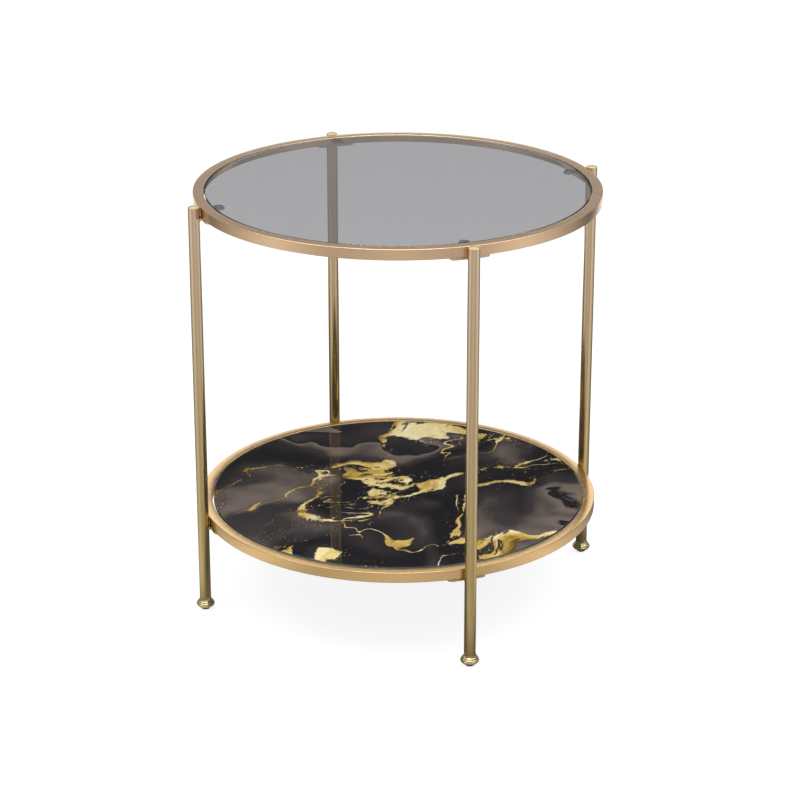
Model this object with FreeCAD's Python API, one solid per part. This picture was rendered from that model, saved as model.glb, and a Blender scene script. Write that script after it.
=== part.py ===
import FreeCAD, Part
import math
import os

# Round side table with two tiers, in millimetres, +Z up.
# The origin is on the floor under the middle. The front leg stands on -Y and the right leg on +X.

# Tiers: the rings' outer diameter, and the height of each ring's upper face above the floor
ring_outer_diameter = 527.0
upper_tier_height = 556.0
lower_tier_height = 132.0

# Square tube of the rings
ring_tube_width = 14.0
ring_tube_height = 14.0
ring_tube_wall = 1.2
ring_corner_radius = 1.2

# Glass discs, which lie in the rings with a gap all round
top_glass_thickness = 5.0
top_glass_recess = 0.6
shelf_panel_thickness = 5.0
shelf_panel_recess = 0.2
panel_edge_gap = 2.0
panel_arris = 0.5

# Legs: round tubes that stand just outside the rings
leg_diameter = 15.0
leg_wall = 1.2
leg_ring_gap = 0.5
leg_angles = {"front": -90.0, "right": 0.0, "rear": 90.0, "left": 180.0}

# Domed caps, whose rims are level with the upper ring
cap_rim_height = 1.2
cap_dome_height = 2.2
cap_spigot_length = 12.0

# Cast feet: a round belly and a neck with ring ribs, with two smooth straps whose round tips lie on the leg.
# Each foot is turned about the leg's axis, so that its straps lie nearly along the ring.
foot_height = 12.3
foot_collar_step = 0.4
foot_belly_diameter = 24.2
foot_belly_height = 4.7
foot_rib_bottom = 5.9
foot_rib_count = 3
foot_rib_depth = 0.8
foot_base_diameter = 13.4
foot_strap_width = 4.2
foot_strap_rise = 0.4
foot_strap_tip = 2.8
foot_turn = -80.0
foot_spigot_length = 20.0
foot_curve_steps = 6

# Black glides, pressed into the feet
glide_diameter = 11.6
glide_height = 3.0
glide_edge_radius = 0.8
glide_stem_diameter = 5.0
glide_stem_length = 7.0

# Brackets: flat plates under the rings, each with a tongue welded to its leg
bracket_length = 51.0
bracket_width = 12.0
bracket_thickness = 3.0
bracket_tongue_width = 11.0
bracket_screw_spacing = 34.0

# Countersunk screws, from below through the brackets
screw_diameter = 5.0
screw_length = 12.0
screw_head_diameter = 9.2
screw_head_height = 2.2
screw_socket_width = 3.0
screw_socket_depth = 1.8

# Threaded inserts, clenched in the floor of the ring tubes
insert_diameter = 7.0
insert_length = 9.0
insert_collar_diameter = 9.6
insert_collar_height = 2.0

# Tabs on the rings' inner walls, and the pads on them that the glass lies on
tab_width = 15.0
tab_reach = 10.5
tab_thickness = 2.0
pad_diameter = 13.0
pad_thickness = 2.0
pad_edge_radius = 0.5
pad_stem_diameter = 4.0
pad_stem_overhang = 1.2

# Fits: how far a welded edge, a plug and a screw stay off the round face they meet
weld_gap = 0.1
plug_clearance = 0.15
screw_clearance = 0.1

# How far a cutting shape runs past the face it cuts
cut_overrun = 2.0

# Sizes worked out from those above
ring_outer_radius = ring_outer_diameter / 2
ring_inner_radius = ring_outer_radius - ring_tube_width
ring_middle_radius = ring_outer_radius - ring_tube_width / 2
panel_radius = ring_inner_radius - panel_edge_gap
pad_circle_radius = ring_inner_radius - tab_reach
leg_radius = leg_diameter / 2
leg_bore_radius = leg_radius - leg_wall
leg_circle_radius = ring_outer_radius + leg_ring_gap + leg_radius
leg_bottom = glide_height + foot_height
leg_top = upper_tier_height - cap_rim_height
plug_radius = leg_bore_radius - plug_clearance
foot_collar_radius = leg_radius + foot_collar_step
foot_belly_radius = foot_belly_diameter / 2
foot_base_radius = foot_base_diameter / 2
foot_rib_pitch = (foot_height - foot_rib_bottom) / foot_rib_count
foot_strap_bottom = foot_rib_bottom + foot_rib_pitch / 2

# Each tier: name, ring height, and the thickness and recess of its disc
tiers = {
    "upper": (upper_tier_height, top_glass_thickness, top_glass_recess),
    "lower": (lower_tier_height, shelf_panel_thickness, shelf_panel_recess),
}


def at(x, y, z):
    """A point, or a step along the axes."""
    return FreeCAD.Vector(x, y, z)


def upright(radius, low, high, x=0, y=0):
    """A round bar standing at x, y from one height to another."""
    return Part.makeCylinder(radius, high - low, at(x, y, low))


def revolved(edges):
    """The solid that a closed outline in the XZ plane sweeps round the Z axis."""
    outline = Part.Wire(Part.__sortEdges__(edges))
    return Part.Face(outline).revolve(at(0, 0, 0), at(0, 0, 1), 360)


def line(start, end):
    """A straight edge in the XZ plane, between two (radius, height) pairs."""
    return Part.LineSegment(at(start[0], 0, start[1]), at(end[0], 0, end[1])).toShape()


def arc(start, middle, end):
    """A round edge in the XZ plane, through three (radius, height) pairs."""
    points = [at(radius, 0, height) for radius, height in (start, middle, end)]
    return Part.Arc(*points).toShape()


def path(*points):
    """Straight edges through (radius, height) pairs."""
    return [line(start, end) for start, end in zip(points, points[1:])]


def swing_middle(reach, rise):
    """How far out and up the middle lies on an arc that sets off level and climbs this rise over this reach."""
    radius = (reach ** 2 + rise ** 2) / (2 * rise)
    half_turn = math.atan2(reach, radius - rise) / 2
    return radius * math.sin(half_turn), radius * (1 - math.cos(half_turn))


def moved(shape, x, z):
    """A copy of a shape, shifted out along X and up."""
    copy = shape.copy()
    copy.translate(at(x, 0, z))
    return copy


def turned(shape, angle):
    """A copy of a shape, turned about the table's axis."""
    copy = shape.copy()
    copy.rotate(at(0, 0, 0), at(0, 0, 1), angle)
    return copy


def round_edges(shape):
    """The full circles among a shape's edges."""
    return [edge for edge in shape.Edges if isinstance(edge.Curve, Part.Circle)]


def screw_places():
    """Where the two screws of the bracket on +X stand."""
    return [(ring_middle_radius, side * bracket_screw_spacing / 2) for side in (-1, 1)]


def make_ring(height):
    """A hoop of square tube whose upper face is at this height, with holes for the inserts."""
    low = height - ring_tube_height
    hoop = upright(ring_outer_radius, low, height).cut(upright(ring_inner_radius, low, height))
    hoop = hoop.makeFillet(ring_corner_radius, round_edges(hoop))
    hollow_low = low + ring_tube_wall
    hollow_high = height - ring_tube_wall
    hollow = upright(ring_outer_radius - ring_tube_wall, hollow_low, hollow_high)
    hollow = hollow.cut(upright(ring_inner_radius + ring_tube_wall, hollow_low, hollow_high))
    hoop = hoop.cut(hollow)
    hole_radius = insert_diameter / 2 + plug_clearance
    holes = [upright(hole_radius, low - cut_overrun, hollow_low + cut_overrun, x, y) for x, y in screw_places()]
    return hoop.cut([turned(hole, angle) for hole in holes for angle in leg_angles.values()])


def make_panel(height, thickness, recess):
    """A glass disc with a ground arris round both faces, its upper face just below the ring's."""
    disc = upright(panel_radius, height - recess - thickness, height - recess)
    return disc.makeChamfer(panel_arris, round_edges(disc))


def make_leg_tube():
    """The tube of one leg, from its foot to its cap."""
    tube = upright(leg_radius, leg_bottom, leg_top)
    bore = upright(leg_bore_radius, leg_bottom - cut_overrun, leg_top + cut_overrun)
    return moved(tube.cut(bore), leg_circle_radius, 0)


def make_leg_cap():
    """A domed cap with a spigot that fits the leg's bore."""
    dome_top = cap_rim_height + cap_dome_height
    middle_reach, middle_drop = swing_middle(leg_radius, cap_dome_height)
    dome_middle = (middle_reach, dome_top - middle_drop)
    sides = path(
        (0, dome_top),
        (0, -cap_spigot_length),
        (plug_radius, -cap_spigot_length),
        (plug_radius, 0),
        (leg_radius, 0),
        (leg_radius, cap_rim_height),
    )
    dome = arc((leg_radius, cap_rim_height), dome_middle, (0, dome_top))
    return moved(revolved(sides + [dome]), leg_circle_radius, leg_top)


def bell_radius(height):
    """Radius of the foot above its belly, drawn in on an ogee to the collar."""
    rise_share = (height - foot_belly_height) / (foot_height - foot_belly_height)
    swell_share = (1 + math.cos(math.pi * rise_share)) / 2
    return foot_collar_radius + (foot_belly_radius - foot_collar_radius) * swell_share


def make_ribbed_bell():
    """The foot's belly, the ring ribs above it up to the tube's rim, and the spigot on top."""
    base = (foot_base_radius, 0)
    belly = (foot_belly_radius, foot_belly_height)
    middle_reach, middle_rise = swing_middle(foot_belly_radius - foot_base_radius, foot_belly_height)
    edges = [line((0, 0), base), arc(base, (foot_base_radius + middle_reach, middle_rise), belly)]
    valleys = [belly]
    for step in range(foot_rib_count):
        height = foot_rib_bottom + step * foot_rib_pitch
        valleys.append((bell_radius(height) - foot_rib_depth, height))
    valleys.append((leg_radius, foot_height))
    for low, high in zip(valleys, valleys[1:]):
        crest_height = (low[1] + high[1]) / 2
        edges.append(arc(low, (bell_radius(crest_height), crest_height), high))
    spigot_top = foot_height + foot_spigot_length
    edges += path(
        valleys[-1],
        (plug_radius, foot_height),
        (plug_radius, spigot_top),
        (0, spigot_top),
        (0, 0),
    )
    return revolved(edges)


def make_foot_straps():
    """Two smooth straps over the ribs, from the lowest rib up to round tips that lie on the leg."""
    step_height = (foot_height - foot_strap_bottom) / foot_curve_steps
    heights = [foot_strap_bottom + step * step_height for step in range(foot_curve_steps + 1)]
    ogee_points = [at(bell_radius(height) + foot_strap_rise, 0, height) for height in heights]
    ogee = Part.BSplineCurve()
    ogee.interpolate(ogee_points)
    tip_top = foot_height + foot_strap_tip
    tip_outer_radius = foot_collar_radius + foot_strap_rise
    tip_inner_radius = leg_radius + plug_clearance
    edges = [ogee.toShape()] + path(
        (tip_outer_radius, foot_height),
        (tip_outer_radius, tip_top),
        (tip_inner_radius, tip_top),
        (tip_inner_radius, foot_height),
        (0, foot_height),
        (0, foot_strap_bottom),
        (ogee_points[0].x, foot_strap_bottom),
    )
    bell = revolved(edges)
    reach = foot_belly_diameter + 2 * cut_overrun
    half_width = foot_strap_width / 2
    straight_height = tip_top - half_width
    band = Part.makeBox(reach, foot_strap_width, straight_height, at(-reach / 2, -half_width, 0))
    round_end = Part.makeCylinder(half_width, reach, at(-reach / 2, 0, straight_height), at(1, 0, 0))
    band = band.fuse(round_end)
    return bell.common(band)


def make_foot():
    """A cast foot under the leg on +X, bored from below for the glide's stem."""
    foot = make_ribbed_bell().fuse(make_foot_straps())
    stem_hole_radius = glide_stem_diameter / 2 + plug_clearance
    foot = foot.cut(upright(stem_hole_radius, -cut_overrun, glide_stem_length + cut_overrun))
    return moved(turned(foot, foot_turn), leg_circle_radius, glide_height)


def make_glide():
    """A black glide with a rounded lower edge and a stem in the foot."""
    disc = upright(glide_diameter / 2, 0, glide_height)
    lower_edge = [edge for edge in round_edges(disc) if edge.CenterOfMass.z < glide_height / 2]
    disc = disc.makeFillet(glide_edge_radius, lower_edge)
    stem = upright(glide_stem_diameter / 2, glide_height, glide_height + glide_stem_length)
    return moved(disc.fuse(stem), leg_circle_radius, 0)


def make_bracket(ring_low):
    """A plate with round ends under the ring, its tongue cut to the leg's round, with two countersunk holes."""
    low = ring_low - bracket_thickness
    end_radius = bracket_width / 2
    end_offset = bracket_length / 2 - end_radius
    corner = at(ring_middle_radius - end_radius, -end_offset, low)
    plate = Part.makeBox(bracket_width, 2 * end_offset, bracket_thickness, corner)
    ends = [upright(end_radius, low, ring_low, ring_middle_radius, side * end_offset) for side in (-1, 1)]
    tongue_length = leg_circle_radius - ring_middle_radius - bracket_tongue_width / 2
    tongue_corner = at(ring_middle_radius, -bracket_tongue_width / 2, low)
    tongue = Part.makeBox(tongue_length, bracket_tongue_width, bracket_thickness, tongue_corner)
    plate = plate.fuse(ends + [tongue]).removeSplitter()
    cuts = [upright(leg_radius + weld_gap, low - cut_overrun, ring_low + cut_overrun, leg_circle_radius)]
    shank_radius = screw_diameter / 2 + screw_clearance
    head_radius = screw_head_diameter / 2 + screw_clearance
    for x, y in screw_places():
        cuts.append(upright(shank_radius, low - cut_overrun, ring_low + cut_overrun, x, y))
        cuts.append(Part.makeCone(head_radius, shank_radius, screw_head_height, at(x, y, low)))
    return plate.cut(cuts)


def make_screws(ring_low):
    """The two countersunk screws of the bracket on +X, with hexagon sockets."""
    low = ring_low - bracket_thickness
    shank_radius = screw_diameter / 2
    shank = upright(shank_radius, low, low + screw_length)
    head = Part.makeCone(screw_head_diameter / 2, shank_radius, screw_head_height, at(0, 0, low))
    corner_radius = screw_socket_width / math.sqrt(3)
    turns = [math.radians(60 * corner) for corner in range(7)]
    corners = [at(corner_radius * math.cos(turn), corner_radius * math.sin(turn), low) for turn in turns]
    socket = Part.Face(Part.makePolygon(corners)).extrude(at(0, 0, screw_socket_depth))
    screw = head.fuse(shank).removeSplitter().cut(socket)
    return [screw.translated(at(x, y, 0)) for x, y in screw_places()]


def make_inserts(ring_low):
    """The two inserts above the bracket on +X, clenched over the floor of the ring's tube."""
    floor = ring_low + ring_tube_wall
    sleeve = upright(insert_diameter / 2, ring_low, ring_low + insert_length)
    collar = upright(insert_collar_diameter / 2, floor, floor + insert_collar_height)
    bore_radius = screw_diameter / 2 + screw_clearance
    bore = upright(bore_radius, ring_low - cut_overrun, ring_low + insert_length + cut_overrun)
    insert = sleeve.fuse(collar).cut(bore)
    return [insert.translated(at(x, y, 0)) for x, y in screw_places()]


def make_tab(seat):
    """A tab on the ring's inner wall, round at its free end, with a hole for the pad's stem."""
    low = seat - tab_thickness
    length = tab_reach + cut_overrun
    corner = at(pad_circle_radius, -tab_width / 2, low)
    strip = Part.makeBox(length, tab_width, tab_thickness, corner)
    strip = strip.fuse(upright(tab_width / 2, low, seat, pad_circle_radius)).removeSplitter()
    tab = strip.common(upright(ring_inner_radius - weld_gap, low, seat))
    hole_radius = pad_stem_diameter / 2 + plug_clearance
    return tab.cut(upright(hole_radius, low - cut_overrun, seat + cut_overrun, pad_circle_radius))


def make_pad(seat):
    """A soft pad on a tab, with a stem down through the tab."""
    disc = upright(pad_diameter / 2, 0, pad_thickness)
    upper_edge = [edge for edge in round_edges(disc) if edge.CenterOfMass.z > pad_thickness / 2]
    disc = disc.makeFillet(pad_edge_radius, upper_edge)
    stem = upright(pad_stem_diameter / 2, -tab_thickness - pad_stem_overhang, 0)
    return moved(disc.fuse(stem), pad_circle_radius, seat)


def make_tier(name, height, thickness, recess):
    """The ring of one tier and all that carries it and its disc, by node name."""
    ring_low = height - ring_tube_height
    seat = height - recess - thickness - pad_thickness
    nodes = {f"{name}_ring": make_ring(height)}
    at_each_leg = {
        "bracket": make_bracket(ring_low),
        "tab": make_tab(seat),
        "pad": make_pad(seat),
    }
    for piece, shape in at_each_leg.items():
        for side, angle in leg_angles.items():
            nodes[f"{name}_{piece}_{side}"] = turned(shape, angle)
    groups = {
        "bracket_screws": make_screws(ring_low),
        "ring_inserts": make_inserts(ring_low),
    }
    for piece, shapes in groups.items():
        copies = [turned(shape, angle) for angle in leg_angles.values() for shape in shapes]
        nodes[f"{name}_{piece}"] = Part.makeCompound(copies)
    return nodes


def make_legs():
    """The four legs with their caps, feet and glides, by node name."""
    pieces = {
        "leg_tube": make_leg_tube(),
        "leg_cap": make_leg_cap(),
        "foot": make_foot(),
        "glide": make_glide(),
    }
    nodes = {}
    for piece, shape in pieces.items():
        for side, angle in leg_angles.items():
            nodes[f"{piece}_{side}"] = turned(shape, angle)
    return nodes


def make_table():
    """Every node of the table by name."""
    nodes = make_legs()
    for name, (height, thickness, recess) in tiers.items():
        nodes.update(make_tier(name, height, thickness, recess))
    nodes["top_glass"] = make_panel(*tiers["upper"])
    nodes["shelf_panel"] = make_panel(*tiers["lower"])
    return nodes


os.makedirs("parts", exist_ok=True)
for node_name, node_shape in make_table().items():
    node_shape.exportStep(f"parts/{node_name}.step")
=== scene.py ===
import math

import bmesh
import bpy
from bpy.props import FloatProperty, FloatVectorProperty, IntProperty, PointerProperty
from mathutils import Matrix, Vector


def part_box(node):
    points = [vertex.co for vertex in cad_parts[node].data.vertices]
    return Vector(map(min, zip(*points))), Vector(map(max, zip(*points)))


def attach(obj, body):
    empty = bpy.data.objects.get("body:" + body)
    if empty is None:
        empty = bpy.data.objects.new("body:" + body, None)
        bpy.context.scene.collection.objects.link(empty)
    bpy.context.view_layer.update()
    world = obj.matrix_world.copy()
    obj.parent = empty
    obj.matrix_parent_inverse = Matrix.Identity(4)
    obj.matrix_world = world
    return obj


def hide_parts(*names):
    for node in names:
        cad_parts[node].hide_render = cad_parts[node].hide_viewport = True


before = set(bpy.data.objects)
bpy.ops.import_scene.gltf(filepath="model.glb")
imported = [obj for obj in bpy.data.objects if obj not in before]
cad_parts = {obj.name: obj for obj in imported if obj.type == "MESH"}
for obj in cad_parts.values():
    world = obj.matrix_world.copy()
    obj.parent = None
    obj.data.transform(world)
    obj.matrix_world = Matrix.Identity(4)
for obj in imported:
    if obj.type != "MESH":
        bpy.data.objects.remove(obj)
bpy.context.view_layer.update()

bl_info = {
    "name": "Tiered Side Table",
    "version": (1, 0, 0),
    "blender": (4, 5, 0),
    "location": "3D View > Sidebar > Side Table",
    "description": "Dresses a round two-tier side table of gold tube and glass around its packed frame",
    "category": "Add Mesh",
}

# Where the four legs stand, as turns about the table's axis, and the two tiers from the top down
LEG_TURNS = {"front": -90.0, "right": 0.0, "rear": 90.0, "left": 180.0}
TIERS = ("upper", "lower")
MM = 0.001


def span(node, axis):
    """The lowest and highest place of a node along one axis, 0 for X to 2 for Z."""
    low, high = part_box(node)
    return low[axis], high[axis]


def extent(node, axis):
    """How far a node reaches along one axis."""
    low, high = span(node, axis)
    return high - low


# Main sizes and heights, read from the frame
RING_OUTER_RADIUS = span("upper_ring", 0)[1]
RING_TUBE_HEIGHT = extent("upper_ring", 2)
PANEL_RADIUS = span("top_glass", 0)[1]
LEG_RADIUS = extent("leg_tube_right", 0) / 2
LEG_CIRCLE_RADIUS = span("leg_tube_right", 0)[1] - LEG_RADIUS
LEG_BOTTOM, LEG_TOP = span("leg_tube_right", 2)
FOOT_BOTTOM, FOOT_SPIGOT_TOP = span("foot_right", 2)
CAP_SPIGOT_LOW, CAP_TOP = span("leg_cap_right", 2)
GLIDE_RADIUS = extent("glide_right", 1) / 2
GLIDE_STEM_TOP = span("glide_right", 2)[1]
PAD_RADIUS = extent("upper_pad_right", 1) / 2
PAD_CIRCLE_RADIUS = span("upper_pad_right", 0)[1] - PAD_RADIUS
TAB_WIDTH = extent("upper_tab_right", 1)
BRACKET_LENGTH = extent("upper_bracket_right", 1)

# Straight steps round the turned pieces
FOOT_STEPS = 160
DISC_STEPS = 288
SMALL_STEPS = 64
SCREW_STEPS = 48

# Steps along the half-round ends of plates, and over the small edges of glides and pads
PLATE_END_STEPS = 24
EDGE_STEPS = 6


def linear(hex_colour):
    """An sRGB hex colour as linear red, green, blue and alpha."""
    shares = [int(hex_colour[place:place + 2], 16) / 255 for place in (1, 3, 5)]
    made = [share / 12.92 if share <= 0.04045 else ((share + 0.055) / 1.055) ** 2.4 for share in shares]
    return (*made, 1.0)


def per_size(millimetres):
    """The texture scale at which one cell of a pattern is this many millimetres wide."""
    return 1 / (millimetres * MM)


def size_property(name, description, millimetres):
    """A length that a user can set, in metres."""
    return FloatProperty(name=name, description=description, default=millimetres * MM, min=0.0, unit="LENGTH",
                         precision=5)


def colour_property(name, description, hex_colour):
    """A colour that a user can set."""
    return FloatVectorProperty(name=name, description=description, default=linear(hex_colour), size=4,
                               subtype="COLOR", min=0.0, max=1.0)


def angle_property(name, description, degrees):
    """An angle that a user can set."""
    return FloatProperty(name=name, description=description, default=math.radians(degrees), subtype="ANGLE")


def count_property(name, description, count, least):
    """A whole number that a user can set."""
    return IntProperty(name=name, description=description, default=count, min=least)


def level_property(name, description, level):
    """A brightness that a user can set."""
    return FloatProperty(name=name, description=description, default=level, min=0.0)


class MetalSizes(bpy.types.PropertyGroup):
    """Sizes of the rings, legs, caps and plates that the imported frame's boxes don't give."""
    ring_tube_width: size_property("Ring tube width", "Width of the rings' square tube, in to out", 14.0)
    ring_corner_radius: size_property("Ring corner radius", "Rounding of the square tube's corners", 1.2)
    ring_steps: count_property("Ring steps", "Straight steps round each ring", 288, 32)
    leg_steps: count_property("Leg steps", "Straight steps round each leg", 96, 16)
    cap_rim_height: size_property("Cap rim height", "Straight rim of the cap above the leg's tube", 1.2)
    cap_groove: size_property("Cap groove", "Depth of the fine groove where the cap meets the tube", 0.2)
    spigot_radius: size_property("Spigot radius", "Radius of the plugs inside the legs", 6.15)
    bracket_width: size_property("Bracket width", "Width of the plates under the rings", 12.0)
    tongue_width: size_property("Tongue width", "Width of the bracket's tongue at the leg", 11.0)
    plate_edge: size_property("Plate edge", "Rounding of the edges of brackets and tabs", 0.35)
    weld_gap: size_property("Weld gap", "Gap that the weld between plate and tube closes", 0.1)
    weld_radius: size_property("Weld radius", "Radius of the weld beads", 1.1)
    weld_ripple: size_property("Weld ripple", "Spacing of the ripples along a weld bead", 1.5)


class FootSizes(bpy.types.PropertyGroup):
    """Sizes of the cast feet and their glides."""
    height: size_property("Foot height", "Height of the casting under the leg's tube", 12.3)
    collar_radius: size_property("Collar radius", "Radius at the top, round the leg", 7.9)
    belly_radius: size_property("Belly radius", "Largest radius of the belly", 12.1)
    belly_height: size_property("Belly height", "Height at which the belly is widest", 4.7)
    base_radius: size_property("Base radius", "Radius of the flat base", 6.7)
    rib_bottom: size_property("Rib bottom", "Height of the lowest groove between the ribs", 5.9)
    rib_depth: size_property("Rib depth", "Depth of the grooves between the ribs", 0.8)
    rib_count: count_property("Rib count", "Ring ribs on each foot", 3, 1)
    strap_width: size_property("Strap width", "Width of the two smooth straps across the ribs", 4.2)
    strap_rise: size_property("Strap rise", "How far the straps stand above the ribs", 0.4)
    strap_blend: size_property("Strap blend", "Width over which a strap runs out into the ribs", 0.7)
    strap_tip: size_property("Strap tip", "How far the straps' round tips rise above the collar", 2.8)
    tip_gap: size_property("Tip gap", "Gap between a strap's tip and the leg", 0.15)
    turn: angle_property("Foot turn", "How far each foot is turned on its leg", -80.0)
    glide_edge: size_property("Glide edge", "Rounding of the glide's lower edge", 0.8)
    glide_stem_radius: size_property("Glide stem radius", "Radius of the glide's stem in the foot", 2.5)


class FixingSizes(bpy.types.PropertyGroup):
    """Sizes of the screws, pads and glass edges."""
    screw_spacing: size_property("Screw spacing", "Distance between a bracket's two screws", 34.0)
    screw_radius: size_property("Screw radius", "Radius of the screw's shank", 2.5)
    screw_length: size_property("Screw length", "Length of the screw with its head", 12.0)
    head_radius: size_property("Head radius", "Radius of the countersunk head", 4.6)
    head_height: size_property("Head height", "Height of the countersunk head", 2.2)
    head_sink: size_property("Head sink", "How far the head lies below the bracket's face", 0.15)
    socket_width: size_property("Socket width", "Hexagon socket across its flats", 3.0)
    socket_depth: size_property("Socket depth", "Depth of the hexagon socket", 1.8)
    hole_clearance: size_property("Hole clearance", "Gap round a screw head or a pad's stem", 0.15)
    pad_thickness: size_property("Pad thickness", "Height of the pads above their tabs", 2.0)
    pad_edge: size_property("Pad edge", "Rounding of the pad's upper edge", 0.5)
    pad_dish: size_property("Pad dish", "Depth of the shallow suction dish in the pad", 0.35)
    stem_radius: size_property("Stem radius", "Radius of the pad's stem", 2.0)
    glass_arris: size_property("Glass arris", "Ground arris round both faces of the discs", 0.5)


class Finishes(bpy.types.PropertyGroup):
    """Colours of the finishes."""
    # Each pair below is one plating, coloured by height as painted light and shade: the lower colour stands
    # for the shade toward the floor.
    hoop_high: colour_property("Upper ring gold", "Satin plating of the upper ring", "#D4B490")
    hoop_low_shaded: colour_property("Lower ring gold", "Satin plating of the lower ring", "#D7B37C")
    leg_high: colour_property("Upper leg gold", "Satin plating at the top of the legs", "#CEB598")
    leg_low_shaded: colour_property("Lower leg gold", "Satin plating near the floor", "#B49D69")
    bright_gold: colour_property("Bright gold", "Polished plating of caps and feet", "#EBD6A2")
    # The groove colour is painted shade in the grooves of the feet, not a colour of the plating.
    groove_shade_gold: colour_property("Groove gold", "Dull plating in the grooves of the feet", "#3E2E10")
    smoke: colour_property("Smoke", "Tint of the top glass", "#6E6D78")
    print_black: colour_property("Print black", "Darkest ground of the shelf's print", "#1A181D")
    print_charcoal: colour_property("Print charcoal", "Middle ground of the shelf's print", "#3D3738")
    print_taupe: colour_property("Print taupe", "Pale clouds in the shelf's print", "#7B6F66")
    print_ochre: colour_property("Print ochre", "Dark end of the printed gold", "#6E4E14")
    print_gold: colour_property("Print gold", "Middle of the printed gold", "#D9B75A")
    print_pale: colour_property("Print pale gold", "Light end of the printed gold", "#FFF3C2")
    backing: colour_property("Backing", "Enamel on the underside of the shelf glass", "#6E6C6A")
    silicone: colour_property("Silicone", "Soft pads under the glass", "#CDCDCF")
    nylon: colour_property("Nylon", "Black glides", "#0B0B0C")
    zinc: colour_property("Zinc", "Screws and inserts", "#B9BBBD")


class StageSettings(bpy.types.PropertyGroup):
    """The camera's place and the studio."""
    camera_turn: angle_property("Camera turn", "Turn round the table from the front leg", -19.58)
    camera_heading: angle_property("Camera heading", "Turn of its view from the table's rear", -19.63)
    camera_distance: size_property("Camera distance", "Level distance from the table's axis", 3140.0)
    camera_height: size_property("Camera height", "Height of the camera above the floor", 1488.0)
    camera_pitch: angle_property("Camera pitch", "How far the camera looks down", 21.34)
    camera_lens: FloatProperty(name="Lens", description="Focal length on a 36 mm sensor, in millimetres",
                               default=114.27, min=1.0, unit="CAMERA")
    floor_colour: colour_property("Floor", "Pale plain floor", "#8F8F8F")
    floor_glow: level_property("Floor glow", "Light that the lit floor gives by itself", 0.85)
    dome_low: level_property("Dome at the horizon", "Brightness of the studio near the horizon", 0.40)
    dome_high: level_property("Dome overhead", "Brightness of the studio overhead", 1.0)
    softbox_power: FloatProperty(name="Softbox power", description="Power of the overhead softbox",
                                 default=20.0, min=0.0, unit="POWER")


class SideTable(bpy.types.PropertyGroup):
    """All the settings of the side table."""
    metal: PointerProperty(type=MetalSizes)
    foot: PointerProperty(type=FootSizes)
    fixing: PointerProperty(type=FixingSizes)
    finish: PointerProperty(type=Finishes)
    stage: PointerProperty(type=StageSettings)


def socket(sockets, key):
    """One of a node's sockets in use, by its name or by its place among them."""
    used = [item for item in sockets if item.enabled]
    if isinstance(key, int):
        return used[key]
    return next(item for item in used if item.name == key)


def add_node(tree, kind, inputs=None, stops=(), **settings):
    """Adds a node. An input is a value, a socket, or a node whose first output feeds it."""
    made = tree.nodes.new(kind)
    for name, value in settings.items():
        setattr(made, name, value)
    for place, (position, colour) in enumerate(stops):
        elements = made.color_ramp.elements
        stop = elements[place] if place < len(elements) else elements.new(position)
        stop.position = position
        stop.color = colour
    for name, value in (inputs or {}).items():
        source = socket(value.outputs, 0) if isinstance(value, bpy.types.Node) else value
        target = socket(made.inputs, name)
        if isinstance(source, bpy.types.NodeSocket):
            tree.links.new(source, target)
        else:
            target.default_value = source
    return made


def new_material(name):
    """An empty node material and its tree."""
    material = bpy.data.materials.new(name)
    material.use_nodes = True
    material.node_tree.nodes.clear()
    return material, material.node_tree


def finish_of(name, build, *values):
    """The material of this name, made the first time that it is asked for."""
    return bpy.data.materials.get(name) or build(name, *values)


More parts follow.
